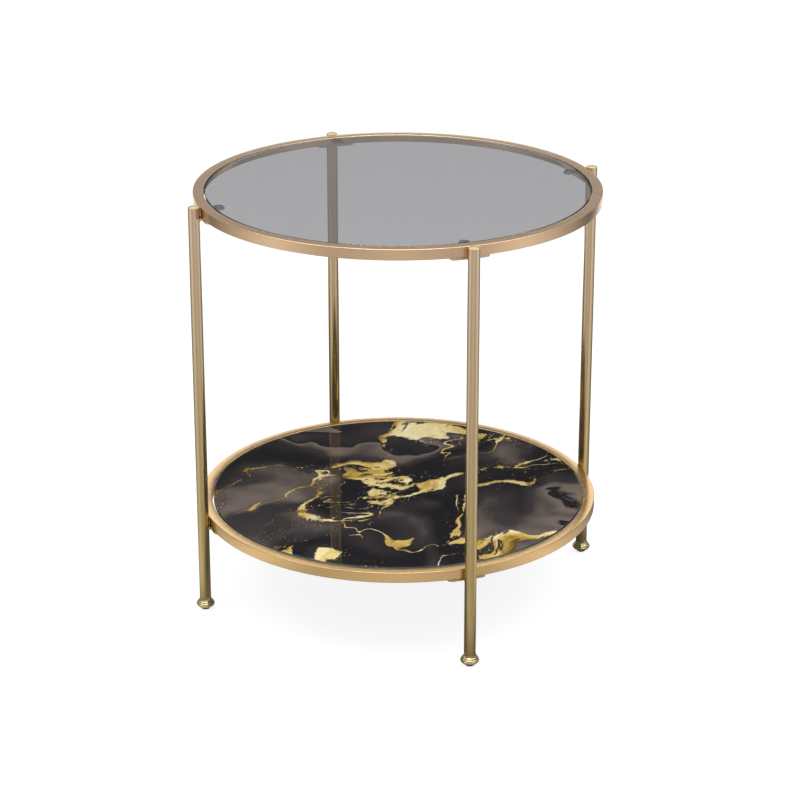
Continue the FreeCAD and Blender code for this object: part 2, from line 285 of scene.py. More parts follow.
def satin_gold(name, shaded_low_colour, high_colour, follow):
    """Steel, gold plated and satin polished. The eye sees soft stripes of reflected light, hair-fine
    polishing lines along the tube and a tone that deepens a little toward the floor, which is painted shade."""
    material, tree = new_material(name)
    coordinates = add_node(tree, "ShaderNodeTexCoord").outputs["Object"]
    place = add_node(tree, "ShaderNodeSeparateXYZ", {0: coordinates})
    height = place.outputs["Z"]
    level = add_node(tree, "ShaderNodeVectorMath", {0: coordinates, 1: (1.0, 1.0, 0.0)}, operation="MULTIPLY")
    reach = add_node(tree, "ShaderNodeVectorMath", {0: level}, operation="LENGTH")
    low_tier = span("lower_ring", 2)[1]
    high_tier = span("upper_ring", 2)[1]
    # The colour runs from the low colour at the lower tier to the high colour at the upper tier: painted
    # shade, darker toward the floor.
    rise = add_node(tree, "ShaderNodeMapRange",
                    {"Value": height, "From Min": low_tier, "From Max": high_tier})
    mottle = add_node(tree, "ShaderNodeTexNoise",
                      {"Vector": coordinates, "Scale": per_size(25.0), "Detail": 2.0})
    mottle_share = 0.12
    mixed = add_node(tree, "ShaderNodeMath", {0: mottle, 1: mottle_share, 2: rise}, operation="MULTIPLY_ADD")
    tone = add_node(tree, "ShaderNodeMix",
                    {"Factor": mixed, "A": tuple(shaded_low_colour), "B": tuple(high_colour)},
                    data_type="RGBA")
    # Polishing lines are a few hundredths of a millimetre apart, drawn here at 0.5 mm so that they show
    line_scale = per_size(0.5)
    if follow == "ring":
        lines_at = add_node(tree, "ShaderNodeCombineXYZ", {"X": reach, "Y": height})
    else:
        lines_at = add_node(tree, "ShaderNodeMapping", {"Vector": coordinates, "Scale": (1.0, 1.0, 0.004)})
    lines = add_node(tree, "ShaderNodeTexNoise", {"Vector": lines_at, "Scale": line_scale, "Detail": 3.0})
    patches = add_node(tree, "ShaderNodeTexNoise",
                       {"Vector": coordinates, "Scale": per_size(18.0), "Detail": 3.0})
    broken = add_node(tree, "ShaderNodeMath", {0: lines, 1: patches}, operation="MULTIPLY")
    # The drawn tubes are smoother than the hoops and plates
    finest, coarsest, relief = (0.12, 0.18, 0.05) if follow == "tube" else (0.2, 0.3, 0.12)
    roughness = add_node(tree, "ShaderNodeMapRange", {
        "Value": broken, "From Min": 0.1, "From Max": 0.45, "To Min": finest, "To Max": coarsest,
    })
    bump = add_node(tree, "ShaderNodeBump", {"Strength": relief, "Distance": 0.02 * MM, "Height": broken})
    shader = add_node(tree, "ShaderNodeBsdfPrincipled",
                      {"Base Color": tone, "Metallic": 1.0, "Roughness": roughness, "Normal": bump})
    add_node(tree, "ShaderNodeOutputMaterial", {"Surface": shader})
    return material


def polished_gold(name, colours):
    """Cast alloy, gold plated and polished. The eye sees mirror-like highlights, slightly wavy from the
    casting, and rougher plating in the grooves, which are also painted dark as shade."""
    material, tree = new_material(name)
    coordinates = add_node(tree, "ShaderNodeTexCoord").outputs["Object"]
    # The groove mask blends the colour toward the dark groove colour, which is painted shade, and makes the
    # plating rougher there.
    groove = add_node(tree, "ShaderNodeAttribute", attribute_name="groove")
    depth = add_node(tree, "ShaderNodeMapRange",
                     {"Value": groove.outputs["Fac"], "From Min": 0.15, "From Max": 0.6, "To Max": 0.95},
                     interpolation_type="SMOOTHSTEP")
    tone = add_node(tree, "ShaderNodeMix",
                    {"Factor": depth, "A": tuple(colours.bright_gold), "B": tuple(colours.groove_shade_gold)},
                    data_type="RGBA")
    haze = add_node(tree, "ShaderNodeTexNoise",
                    {"Vector": coordinates, "Scale": per_size(3.0), "Detail": 3.0})
    polish = add_node(tree, "ShaderNodeMapRange",
                      {"Value": haze, "From Min": 0.35, "From Max": 0.7, "To Min": 0.04, "To Max": 0.09})
    dulling = 0.35
    roughness = add_node(tree, "ShaderNodeMath", {0: depth, 1: dulling, 2: polish}, operation="MULTIPLY_ADD")
    wave = add_node(tree, "ShaderNodeTexNoise",
                    {"Vector": coordinates, "Scale": per_size(4.0), "Detail": 1.0})
    bump = add_node(tree, "ShaderNodeBump", {"Strength": 0.35, "Distance": 0.15 * MM, "Height": wave})
    shader = add_node(tree, "ShaderNodeBsdfPrincipled",
                      {"Base Color": tone, "Metallic": 1.0, "Roughness": roughness, "Normal": bump})
    add_node(tree, "ShaderNodeOutputMaterial", {"Surface": shader})
    return material


def smoked_glass(name, colours):
    """Toughened grey glass, tinted through. The eye sees a clear neutral grey, darker the longer the way
    through it, a faint roller wave in its faces and a slightly matt ground edge."""
    material, tree = new_material(name)
    coordinates = add_node(tree, "ShaderNodeTexCoord").outputs["Object"]
    edge = add_node(tree, "ShaderNodeAttribute", attribute_name="edge")
    roughness = add_node(tree, "ShaderNodeMapRange", {"Value": edge.outputs["Fac"], "To Max": 0.12})
    wave_at = add_node(tree, "ShaderNodeMapping", {"Vector": coordinates, "Scale": (1.0, 0.2, 1.0)})
    wave = add_node(tree, "ShaderNodeTexNoise", {"Vector": wave_at, "Scale": per_size(140.0), "Detail": 0.0})
    bump = add_node(tree, "ShaderNodeBump", {"Strength": 0.05, "Distance": 0.1 * MM, "Height": wave})
    shader = add_node(tree, "ShaderNodeBsdfPrincipled", {
        "Base Color": (1.0, 1.0, 1.0, 1.0), "Roughness": roughness, "IOR": 1.52, "Transmission Weight": 1.0,
        "Normal": bump,
    })
    tint = add_node(tree, "ShaderNodeVolumeAbsorption", {"Color": tuple(colours.smoke), "Density": 167.0})
    add_node(tree, "ShaderNodeOutputMaterial", {"Surface": shader, "Volume": tint})
    return material


def marbled_print(name, colours):
    """Marbled ink and gold powder printed behind clear glass. The eye sees black and taupe ink with tide
    marks, ragged gold rivers, fine veins and gold dust beside them, all under one mirror-smooth face."""
    material, tree = new_material(name)
    coordinates = add_node(tree, "ShaderNodeTexCoord").outputs["Object"]
    # How far the drift bends the print, the shares of finer patterns in wider ones, and a vein's field value
    drift_reach = (0.3, 0.3, 0.0)
    streak_share = 0.1
    river_raggedness = 0.07
    vein_raggedness = 0.022
    grain_share = 0.35
    vein_value = 0.45
    # Slow drift that bends everything in the print, and a stretch along which it flows
    drift = add_node(tree, "ShaderNodeTexNoise",
                     {"Vector": coordinates, "Scale": per_size(230.0), "Detail": 3.0})
    centred = add_node(tree, "ShaderNodeVectorMath", {0: drift.outputs["Color"], 1: (0.5, 0.5, 0.5)},
                       operation="SUBTRACT")
    bent = add_node(tree, "ShaderNodeVectorMath", {0: centred, 1: drift_reach, 2: coordinates},
                    operation="MULTIPLY_ADD")
    flowing = add_node(tree, "ShaderNodeMapping",
                       {"Vector": bent, "Rotation": (0.0, 0.0, math.radians(24.0)), "Scale": (2.3, 1.0, 1.0)},
                       vector_type="TEXTURE")
    # Ink: wide soft clouds from black to taupe, with streaks along the flow and tide marks where they end
    clouds = add_node(tree, "ShaderNodeTexNoise", {"Vector": bent, "Scale": per_size(260.0), "Detail": 2.5})
    streaks = add_node(tree, "ShaderNodeTexNoise",
                       {"Vector": flowing, "Scale": per_size(40.0), "Detail": 6.0})
    ink = add_node(tree, "ShaderNodeMath", {0: streaks, 1: streak_share, 2: clouds}, operation="MULTIPLY_ADD")
    ground = add_node(tree, "ShaderNodeValToRGB", {"Fac": ink}, stops=(
        (0.37, tuple(colours.print_taupe)),
        (0.46, tuple(colours.print_charcoal)),
        (0.53, tuple(colours.print_black)),
        (0.58, tuple(colours.print_black)),
        (0.645, tuple(colours.print_charcoal)),
        (0.69, tuple(colours.print_taupe)),
        (0.694, tuple(colours.print_black)),
        (0.76, tuple(colours.print_charcoal)),
    ))
    # Gold rivers: where a slow field crosses its middle value, wide in places, with powdery edges and islands
    river_field = add_node(tree, "ShaderNodeTexNoise",
                           {"Vector": flowing, "Scale": per_size(150.0), "Detail": 2.0})
    offset = add_node(tree, "ShaderNodeMath", {0: river_field, 1: 0.5}, operation="SUBTRACT")
    river_distance = add_node(tree, "ShaderNodeMath", {0: offset}, operation="ABSOLUTE")
    ragged = add_node(tree, "ShaderNodeTexNoise",
                      {"Vector": coordinates, "Scale": per_size(14.0), "Detail": 8.0, "Roughness": 0.72})
    width_field = add_node(tree, "ShaderNodeTexNoise",
                           {"Vector": coordinates, "Scale": per_size(150.0), "Detail": 1.0})
    width = add_node(tree, "ShaderNodeMapRange", {
        "Value": width_field, "From Min": 0.4, "From Max": 0.66, "To Min": 0.0025, "To Max": 0.034,
    })
    powder = add_node(tree, "ShaderNodeMath", {0: ragged, 1: 0.5}, operation="SUBTRACT")
    loose_width = add_node(tree, "ShaderNodeMath",
                           {0: powder, 1: river_raggedness, 2: width}, operation="MULTIPLY_ADD")
    river_edge = add_node(tree, "ShaderNodeMath", {0: loose_width, 1: river_distance}, operation="SUBTRACT")
    river = add_node(tree, "ShaderNodeMapRange", {"Value": river_edge, "From Min": 0.0, "From Max": 0.004})
    islands_field = add_node(tree, "ShaderNodeTexNoise",
                             {"Vector": flowing, "Scale": per_size(18.0), "Detail": 6.0, "Roughness": 0.65})
    islands = add_node(tree, "ShaderNodeMapRange", {
        "Value": islands_field, "From Min": 0.55, "From Max": 0.58, "To Min": 1.0, "To Max": 0.0,
    })
    laced_river = add_node(tree, "ShaderNodeMath", {0: river, 1: islands}, operation="MULTIPLY")
    # Hair veins that come and go
    vein_field = add_node(tree, "ShaderNodeTexNoise",
                          {"Vector": flowing, "Scale": per_size(110.0), "Detail": 3.0, "Roughness": 0.5})
    vein_offset = add_node(tree, "ShaderNodeMath", {0: vein_field, 1: vein_value}, operation="SUBTRACT")
    vein_distance = add_node(tree, "ShaderNodeMath", {0: vein_offset}, operation="ABSOLUTE")
    vein_width = add_node(tree, "ShaderNodeMapRange", {
        "Value": width_field, "From Min": 0.32, "From Max": 0.6, "To Min": 0.009, "To Max": -0.003,
    })
    loose_vein = add_node(tree, "ShaderNodeMath",
                          {0: powder, 1: vein_raggedness, 2: vein_width}, operation="MULTIPLY_ADD")
    vein_edge = add_node(tree, "ShaderNodeMath", {0: loose_vein, 1: vein_distance}, operation="SUBTRACT")
    vein = add_node(tree, "ShaderNodeMapRange", {"Value": vein_edge, "From Min": 0.0, "From Max": 0.003})
    # Gold dust that thins out away from the rivers
    dust_cells = add_node(tree, "ShaderNodeTexVoronoi", {"Vector": coordinates, "Scale": per_size(4.0)})
    dust_reach = add_node(tree, "ShaderNodeMapRange", {
        "Value": river_distance, "From Min": 0.015, "From Max": 0.09, "To Min": 0.28, "To Max": 0.0,
    })
    dust_edge = add_node(tree, "ShaderNodeMath", {0: dust_reach, 1: dust_cells}, operation="SUBTRACT")
    dust_choice = add_node(tree, "ShaderNodeMapRange", {"Value": ragged, "From Min": 0.49, "From Max": 0.53})
    dust_spot = add_node(tree, "ShaderNodeMapRange", {"Value": dust_edge, "From Min": 0.0, "From Max": 0.05})
    dust = add_node(tree, "ShaderNodeMath", {0: dust_spot, 1: dust_choice}, operation="MULTIPLY")
    lines = add_node(tree, "ShaderNodeMath", {0: laced_river, 1: vein}, operation="MAXIMUM")
    gold = add_node(tree, "ShaderNodeMath", {0: lines, 1: dust}, operation="MAXIMUM")
    # The gold is powdery and runs from ochre to nearly white
    flow = add_node(tree, "ShaderNodeTexNoise",
                    {"Vector": flowing, "Scale": per_size(40.0), "Detail": 4.0, "Roughness": 0.6})
    grain = add_node(tree, "ShaderNodeTexNoise",
                     {"Vector": coordinates, "Scale": per_size(2.2), "Detail": 3.0})
    grained = add_node(tree, "ShaderNodeMath", {0: grain, 1: grain_share, 2: flow}, operation="MULTIPLY_ADD")
    gold_tone = add_node(tree, "ShaderNodeValToRGB", {"Fac": grained}, stops=(
        (0.52, tuple(colours.print_ochre)),
        (0.65, tuple(colours.print_gold)),
        (0.83, tuple(colours.print_pale)),
    ))
    colour = add_node(tree, "ShaderNodeMix", {"Factor": gold, "A": ground, "B": gold_tone}, data_type="RGBA")
    shader = add_node(tree, "ShaderNodeBsdfPrincipled",
                      {"Base Color": colour, "Roughness": 0.02, "IOR": 1.52})
    add_node(tree, "ShaderNodeOutputMaterial", {"Surface": shader})
    return material


def ground_edge(name):
    """The ground rim of the shelf glass. The eye sees a dark, faintly green matt band with fine marks."""
    material, tree = new_material(name)
    coordinates = add_node(tree, "ShaderNodeTexCoord").outputs["Object"]
    # Grinding marks of 0.1 mm are drawn at 1 mm so that they show
    marks_at = add_node(tree, "ShaderNodeMapping", {"Vector": coordinates, "Scale": (1.0, 1.0, 6.0)})
    marks = add_node(tree, "ShaderNodeTexNoise", {"Vector": marks_at, "Scale": per_size(1.0), "Detail": 3.0})
    tone = add_node(tree, "ShaderNodeValToRGB", {"Fac": marks}, stops=(
        (0.35, linear("#16211E")),
        (0.65, linear("#3C4A45")),
    ))
    roughness = add_node(tree, "ShaderNodeMapRange", {"Value": marks, "To Min": 0.15, "To Max": 0.4})
    shader = add_node(tree, "ShaderNodeBsdfPrincipled",
                      {"Base Color": tone, "Roughness": roughness, "IOR": 1.52})
    add_node(tree, "ShaderNodeOutputMaterial", {"Surface": shader})
    return material


def backing_enamel(name, colours):
    """Grey enamel rolled on the back of the shelf glass. The eye sees a dull, even grey, finely dimpled."""
    material, tree = new_material(name)
    coordinates = add_node(tree, "ShaderNodeTexCoord").outputs["Object"]
    peel = add_node(tree, "ShaderNodeTexNoise",
                    {"Vector": coordinates, "Scale": per_size(2.0), "Detail": 2.0})
    blotch = add_node(tree, "ShaderNodeTexNoise",
                      {"Vector": coordinates, "Scale": per_size(70.0), "Detail": 3.0})
    roughness = add_node(tree, "ShaderNodeMapRange", {"Value": blotch, "To Min": 0.38, "To Max": 0.55})
    bump = add_node(tree, "ShaderNodeBump", {"Strength": 0.2, "Distance": 0.03 * MM, "Height": peel})
    shader = add_node(tree, "ShaderNodeBsdfPrincipled",
                      {"Base Color": tuple(colours.backing), "Roughness": roughness, "Normal": bump})
    add_node(tree, "ShaderNodeOutputMaterial", {"Surface": shader})
    return material


def clear_silicone(name, colours):
    """Moulded silicone. The eye sees a soft translucent grey with a faint bloom."""
    material, tree = new_material(name)
    coordinates = add_node(tree, "ShaderNodeTexCoord").outputs["Object"]
    bloom = add_node(tree, "ShaderNodeTexNoise",
                     {"Vector": coordinates, "Scale": per_size(2.5), "Detail": 3.0})
    roughness = add_node(tree, "ShaderNodeMapRange", {"Value": bloom, "To Min": 0.3, "To Max": 0.5})
    shader = add_node(tree, "ShaderNodeBsdfPrincipled", {
        "Base Color": tuple(colours.silicone), "Roughness": roughness, "IOR": 1.41,
        "Transmission Weight": 0.35,
    })
    add_node(tree, "ShaderNodeOutputMaterial", {"Surface": shader})
    return material


def black_nylon(name, colours):
    """Moulded nylon. The eye sees a dull black with a fine spark-eroded grain."""
    material, tree = new_material(name)
    coordinates = add_node(tree, "ShaderNodeTexCoord").outputs["Object"]
    # The grain is about 0.1 mm wide, drawn here at 0.6 mm so that it shows
    grain = add_node(tree, "ShaderNodeTexNoise",
                     {"Vector": coordinates, "Scale": per_size(0.6), "Detail": 2.0})
    roughness = add_node(tree, "ShaderNodeMapRange", {"Value": grain, "To Min": 0.42, "To Max": 0.6})
    bump = add_node(tree, "ShaderNodeBump", {"Strength": 0.3, "Distance": 0.05 * MM, "Height": grain})
    shader = add_node(tree, "ShaderNodeBsdfPrincipled", {
        "Base Color": tuple(colours.nylon), "Roughness": roughness, "IOR": 1.53, "Normal": bump,
    })
    add_node(tree, "ShaderNodeOutputMaterial", {"Surface": shader})
    return material


def zinc_steel(name, colours):
    """Turned steel with bright zinc. The eye sees a cool grey metal with a slight mottle."""
    material, tree = new_material(name)
    coordinates = add_node(tree, "ShaderNodeTexCoord").outputs["Object"]
    spangle = add_node(tree, "ShaderNodeTexNoise",
                       {"Vector": coordinates, "Scale": per_size(1.5), "Detail": 3.0})
    roughness = add_node(tree, "ShaderNodeMapRange", {"Value": spangle, "To Min": 0.25, "To Max": 0.45})
    shader = add_node(tree, "ShaderNodeBsdfPrincipled",
                      {"Base Color": tuple(colours.zinc), "Metallic": 1.0, "Roughness": roughness})
    add_node(tree, "ShaderNodeOutputMaterial", {"Surface": shader})
    return material


def start_tree(name, inputs):
    """A geometry node tree with these named inputs, and the sockets that give them."""
    tree = bpy.data.node_groups.new(name, "GeometryNodeTree")
    tree.interface.new_socket("Geometry", in_out="OUTPUT", socket_type="NodeSocketGeometry")
    tree.interface.new_socket("Geometry", in_out="INPUT", socket_type="NodeSocketGeometry")
    for label, kind in inputs.items():
        tree.interface.new_socket(label, in_out="INPUT", socket_type=f"NodeSocket{kind}")
    tree.interface.new_socket("Material", in_out="INPUT", socket_type="NodeSocketMaterial")
    return tree, tree.nodes.new("NodeGroupInput").outputs


def end_tree(tree, geometry, material):
    """Closes a tree: plain geometry with one material."""
    whole = add_node(tree, "GeometryNodeRealizeInstances", {"Geometry": geometry})
    painted = add_node(tree, "GeometryNodeSetMaterial", {"Geometry": whole, "Material": material})
    add_node(tree, "NodeGroupOutput", {"Geometry": painted})
    return tree


def grown(tree, values, base=None):
    """The plain mesh that a tree makes from these input values, on a base mesh if it needs one."""
    holder = bpy.data.objects.new(tree.name, base or bpy.data.meshes.new(tree.name))
    bpy.context.scene.collection.objects.link(holder)
    modifier = holder.modifiers.new(tree.name, "NODES")
    modifier.node_group = tree
    for item in tree.interface.items_tree:
        if item.in_out == "INPUT" and item.name in values:
            modifier[item.identifier] = values[item.name]
    evaluated = holder.evaluated_get(bpy.context.evaluated_depsgraph_get())
    mesh = bpy.data.meshes.new_from_object(evaluated)
    holder.modifiers.remove(modifier)
    bpy.data.objects.remove(holder)
    return mesh


def hoop_tree():
    """A square tube with rounded corners, swept round the table's axis."""
    tree, given = start_tree("Ring hoop", {
        "Middle Radius": "Float", "Tube Width": "Float", "Tube Height": "Float", "Corner Radius": "Float",
        "Top Height": "Float", "Steps": "Int",
    })
    path = add_node(tree, "GeometryNodeCurvePrimitiveCircle",
                    {"Resolution": given["Steps"], "Radius": given["Middle Radius"]})
    section = add_node(tree, "GeometryNodeCurvePrimitiveQuadrilateral",
                       {"Width": given["Tube Height"], "Height": given["Tube Width"]})
    rounded = add_node(tree, "GeometryNodeFilletCurve",
                       {"Curve": section, "Radius": given["Corner Radius"], "Count": 5, "Limit Radius": True},
                       mode="POLY")
    swept = add_node(tree, "GeometryNodeCurveToMesh", {"Curve": path, "Profile Curve": rounded})
    half = add_node(tree, "ShaderNodeMath", {0: given["Tube Height"], 1: -0.5, 2: given["Top Height"]},
                    operation="MULTIPLY_ADD")
    lift = add_node(tree, "ShaderNodeCombineXYZ", {"Z": half})
    placed = add_node(tree, "GeometryNodeTransform", {"Geometry": swept, "Translation": lift})
    return end_tree(tree, placed, given["Material"])


def leg_tree():
    """A round bar up a straight path."""
    tree, given = start_tree("Leg tube", {"Foot Point": "Vector", "Top Point": "Vector", "Radius": "Float",
                                          "Steps": "Int"})
    path = add_node(tree, "GeometryNodeCurvePrimitiveLine",
                    {"Start": given["Foot Point"], "End": given["Top Point"]})
    section = add_node(tree, "GeometryNodeCurvePrimitiveCircle",
                       {"Resolution": given["Steps"], "Radius": given["Radius"]})
    swept = add_node(tree, "GeometryNodeCurveToMesh",
                     {"Curve": path, "Profile Curve": section, "Fill Caps": True})
    return end_tree(tree, swept, given["Material"])


def rib_tree():
    """Cuts ring grooves into the neck of a smooth foot, and raises two straps across the upper ones."""
    tree, given = start_tree("Foot ribs", {
        "Rib Bottom": "Float", "Foot Height": "Float", "Rib Count": "Int", "Rib Depth": "Float",
        "Strap Width": "Float", "Strap Rise": "Float", "Strap Blend": "Float",
    })
    position = add_node(tree, "GeometryNodeInputPosition")
    place = add_node(tree, "ShaderNodeSeparateXYZ", {0: position})
    height = place.outputs["Z"]
    # Half a sine wave for each rib, with a groove where it is zero, from half a rib below the lowest groove
    turns = add_node(tree, "ShaderNodeMapRange", {
        "Value": height, "From Min": given["Rib Bottom"], "From Max": given["Foot Height"],
        "To Max": given["Rib Count"],
    }, clamp=False)
    angle = add_node(tree, "ShaderNodeMath", {0: turns, 1: math.pi}, operation="MULTIPLY")
    wave = add_node(tree, "ShaderNodeMath", {0: angle}, operation="SINE")
    crest = add_node(tree, "ShaderNodeMath", {0: wave}, operation="ABSOLUTE")
    valley = add_node(tree, "ShaderNodeMath", {0: 1.0, 1: crest}, operation="SUBTRACT")
    on_neck = add_node(tree, "ShaderNodeMath", {0: turns, 1: -0.5}, operation="GREATER_THAN")
    groove = add_node(tree, "ShaderNodeMath", {0: valley, 1: on_neck}, operation="MULTIPLY")
    # The straps lie along the foot's own X axis and run out on the lowest rib
    half_width = add_node(tree, "ShaderNodeMath", {0: given["Strap Width"], 1: 0.5}, operation="MULTIPLY")
    outer_width = add_node(tree, "ShaderNodeMath", {0: half_width, 1: given["Strap Blend"]}, operation="ADD")
    distance = add_node(tree, "ShaderNodeMath", {0: place.outputs["Y"]}, operation="ABSOLUTE")
    across = add_node(tree, "ShaderNodeMapRange", {
        "Value": distance, "From Min": half_width, "From Max": outer_width, "To Min": 1.0, "To Max": 0.0,
    }, interpolation_type="SMOOTHSTEP")
    upper = add_node(tree, "ShaderNodeMapRange", {"Value": turns, "From Min": 0.4, "From Max": 0.7},
                     interpolation_type="SMOOTHSTEP")
    strap = add_node(tree, "ShaderNodeMath", {0: across, 1: upper}, operation="MULTIPLY")
    between = add_node(tree, "ShaderNodeMath", {0: 1.0, 1: strap}, operation="SUBTRACT")
    cut = add_node(tree, "ShaderNodeMath", {0: groove, 1: between}, operation="MULTIPLY")
    rise = add_node(tree, "ShaderNodeMath", {0: strap, 1: given["Strap Rise"]}, operation="MULTIPLY")
    # The topmost groove is half as deep, to meet the leg's tube
    last_rib = add_node(tree, "ShaderNodeMath", {0: given["Rib Count"], 1: 0.5}, operation="SUBTRACT")
    topmost = add_node(tree, "ShaderNodeMath", {0: turns, 1: last_rib}, operation="GREATER_THAN")
    shallow = add_node(tree, "ShaderNodeMath", {0: topmost, 1: -0.5, 2: 1.0}, operation="MULTIPLY_ADD")
    depth = add_node(tree, "ShaderNodeMath", {0: given["Rib Depth"], 1: shallow}, operation="MULTIPLY")
    sunk = add_node(tree, "ShaderNodeMath", {0: cut, 1: depth}, operation="MULTIPLY")
    change = add_node(tree, "ShaderNodeMath", {0: rise, 1: sunk}, operation="SUBTRACT")
    # The spigot above the collar stays as it is
    tolerance = 0.01 * MM
    below = add_node(tree, "ShaderNodeMath", {0: given["Foot Height"], 1: height}, operation="SUBTRACT")
    on_bell = add_node(tree, "ShaderNodeMath", {0: below, 1: -tolerance}, operation="GREATER_THAN")
    amount = add_node(tree, "ShaderNodeMath", {0: change, 1: on_bell}, operation="MULTIPLY")
    level = add_node(tree, "ShaderNodeVectorMath", {0: position, 1: (1.0, 1.0, 0.0)}, operation="MULTIPLY")
    outward = add_node(tree, "ShaderNodeVectorMath", {0: level}, operation="NORMALIZE")
    shift = add_node(tree, "ShaderNodeVectorMath", {"Vector": outward, "Scale": amount}, operation="SCALE")
    # The groove mask is stored for the castings' material, which paints shade into the grooves with it.
    marked = add_node(tree, "GeometryNodeStoreNamedAttribute",
                      {"Geometry": given["Geometry"], "Name": "groove", "Value": cut},
                      data_type="FLOAT", domain="POINT")
    ribbed = add_node(tree, "GeometryNodeSetPosition", {"Geometry": marked, "Offset": shift})
    return end_tree(tree, ribbed, given["Material"])


def screw_tree():
    """Two screws at each leg, all round the table."""
    tree, given = start_tree("Bracket screws", {
        "Circle Radius": "Float", "Spacing": "Float", "Height": "Float", "Leg Count": "Int",
    })
    half = add_node(tree, "ShaderNodeMath", {0: given["Spacing"], 1: -0.5}, operation="MULTIPLY")
    start = add_node(tree, "ShaderNodeCombineXYZ",
                     {"X": given["Circle Radius"], "Y": half, "Z": given["Height"]})
    step = add_node(tree, "ShaderNodeCombineXYZ", {"Y": given["Spacing"]})
    pair_points = add_node(tree, "GeometryNodeMeshLine",
                           {"Count": 2, "Start Location": start, "Offset": step})
    pair = add_node(tree, "GeometryNodeInstanceOnPoints",
                    {"Points": pair_points, "Instance": given["Geometry"]})
    leg_points = add_node(tree, "GeometryNodeMeshLine",
                          {"Count": given["Leg Count"], "Offset": (0.0, 0.0, 0.0)})
    number = add_node(tree, "GeometryNodeInputIndex")
    quarter = add_node(tree, "ShaderNodeMath", {0: 2 * math.pi, 1: given["Leg Count"]}, operation="DIVIDE")
    turn = add_node(tree, "ShaderNodeMath", {0: number, 1: quarter}, operation="MULTIPLY")
    euler = add_node(tree, "ShaderNodeCombineXYZ", {"Z": turn})
    rotation = add_node(tree, "FunctionNodeEulerToRotation", {0: euler})
    all_round = add_node(tree, "GeometryNodeInstanceOnPoints",
                         {"Points": leg_points, "Instance": pair, "Rotation": rotation})
    return end_tree(tree, all_round, given["Material"])


def weld_tree():
    """A rippled weld bead along an arc, tapered at both ends."""
    tree, given = start_tree("Weld bead", {
        "Arc Centre": "Vector", "Arc Radius": "Float", "Start Angle": "Float", "Sweep Angle": "Float",
        "Bead Radius": "Float", "Ripples": "Int",
    })
    rings_per_ripple = 8.0
    rings = add_node(tree, "ShaderNodeMath", {0: given["Ripples"], 1: rings_per_ripple}, operation="MULTIPLY")
    path = add_node(tree, "GeometryNodeCurveArc", {
        "Resolution": rings, "Radius": given["Arc Radius"], "Start Angle": given["Start Angle"],
        "Sweep Angle": given["Sweep Angle"],
    })
    along = add_node(tree, "GeometryNodeSplineParameter").outputs["Factor"]
    turns = add_node(tree, "ShaderNodeMath", {0: given["Ripples"], 1: 2 * math.pi}, operation="MULTIPLY")
    phase = add_node(tree, "ShaderNodeMath", {0: along, 1: turns}, operation="MULTIPLY")
    wave = add_node(tree, "ShaderNodeMath", {0: phase}, operation="SINE")
    ripple_depth = 0.1
    ripple = add_node(tree, "ShaderNodeMath",
                      {0: wave, 1: ripple_depth, 2: 1.0 - ripple_depth}, operation="MULTIPLY_ADD")
    middle = add_node(tree, "ShaderNodeMath", {0: along, 1: 0.5}, operation="SUBTRACT")
    outward = add_node(tree, "ShaderNodeMath", {0: middle}, operation="ABSOLUTE")
    taper = add_node(tree, "ShaderNodeMapRange",
                     {"Value": outward, "From Min": 0.4, "From Max": 0.5, "To Min": 1.0, "To Max": 0.35},
                     interpolation_type="SMOOTHSTEP")
    swell = add_node(tree, "ShaderNodeMath", {0: ripple, 1: taper}, operation="MULTIPLY")
    sized = add_node(tree, "GeometryNodeSetCurveRadius", {"Curve": path, "Radius": swell})
    section = add_node(tree, "GeometryNodeCurvePrimitiveCircle",
                       {"Resolution": 12, "Radius": given["Bead Radius"]})
    bead = add_node(tree, "GeometryNodeCurveToMesh",
                    {"Curve": sized, "Profile Curve": section, "Fill Caps": True})
    placed = add_node(tree, "GeometryNodeTransform", {"Geometry": bead, "Translation": given["Arc Centre"]})
    return end_tree(tree, placed, given["Material"])


def tree_of(build, name):
    """A geometry node tree by its name, built the first time that it is asked for."""
    return bpy.data.node_groups.get(name) or build()


def lathe(outline, steps):
    """A closed round mesh about the Z axis, from (radius, height) pairs that start and end on the axis."""
    shape = bmesh.new()
    rows = []
    for radius, height in outline:
        if radius == 0:
            rows.append([shape.verts.new((0, 0, height))] * steps)
            continue
        row = []
        for step in range(steps):
            turn = 2 * math.pi * step / steps
            row.append(shape.verts.new((radius * math.cos(turn), radius * math.sin(turn), height)))
        rows.append(row)
    for low, high in zip(rows, rows[1:]):
        for step in range(steps):
            after = (step + 1) % steps
            corners = dict.fromkeys((low[step], low[after], high[after], high[step]))
            if len(corners) > 2:
                shape.faces.new(corners)
    bmesh.ops.recalc_face_normals(shape, faces=shape.faces)
    return as_mesh(shape)


def as_mesh(shape):
    """A mesh from a bmesh, which is freed."""
    mesh = bpy.data.meshes.new("shape")
    shape.to_mesh(mesh)
    shape.free()
    return mesh


def arc(centre, radius, start, end, steps):
    """Points on an arc about a centre, from one angle to another in degrees."""
    angles = [math.radians(start + (end - start) * step / steps) for step in range(steps + 1)]
    return [(centre[0] + radius * math.cos(angle), centre[1] + radius * math.sin(angle)) for angle in angles]


def circle(centre, radius, steps):
    """Points all round a circle, each once."""
    return arc(centre, radius, 0.0, 360.0, steps)[:-1]


def smooth(mesh, sharp_degrees=40.0):
    """Shades a mesh smooth, apart from edges sharper than an angle."""
    mesh.polygons.foreach_set("use_smooth", [True] * len(mesh.polygons))
    mesh.set_sharp_from_angle(angle=math.radians(sharp_degrees))
    return mesh


def at_leg(mesh, side, reach=0.0, height=0.0, spin=0.0):
    """A copy of a mesh, spun about its own axis, moved out and up, and turned about the table to a leg."""
    copy = mesh.copy()
    turn = Matrix.Rotation(math.radians(LEG_TURNS[side]), 4, "Z")
    place = Matrix.Translation((reach, 0, height))
    copy.transform(turn @ place @ Matrix.Rotation(spin, 4, "Z"))
    return copy


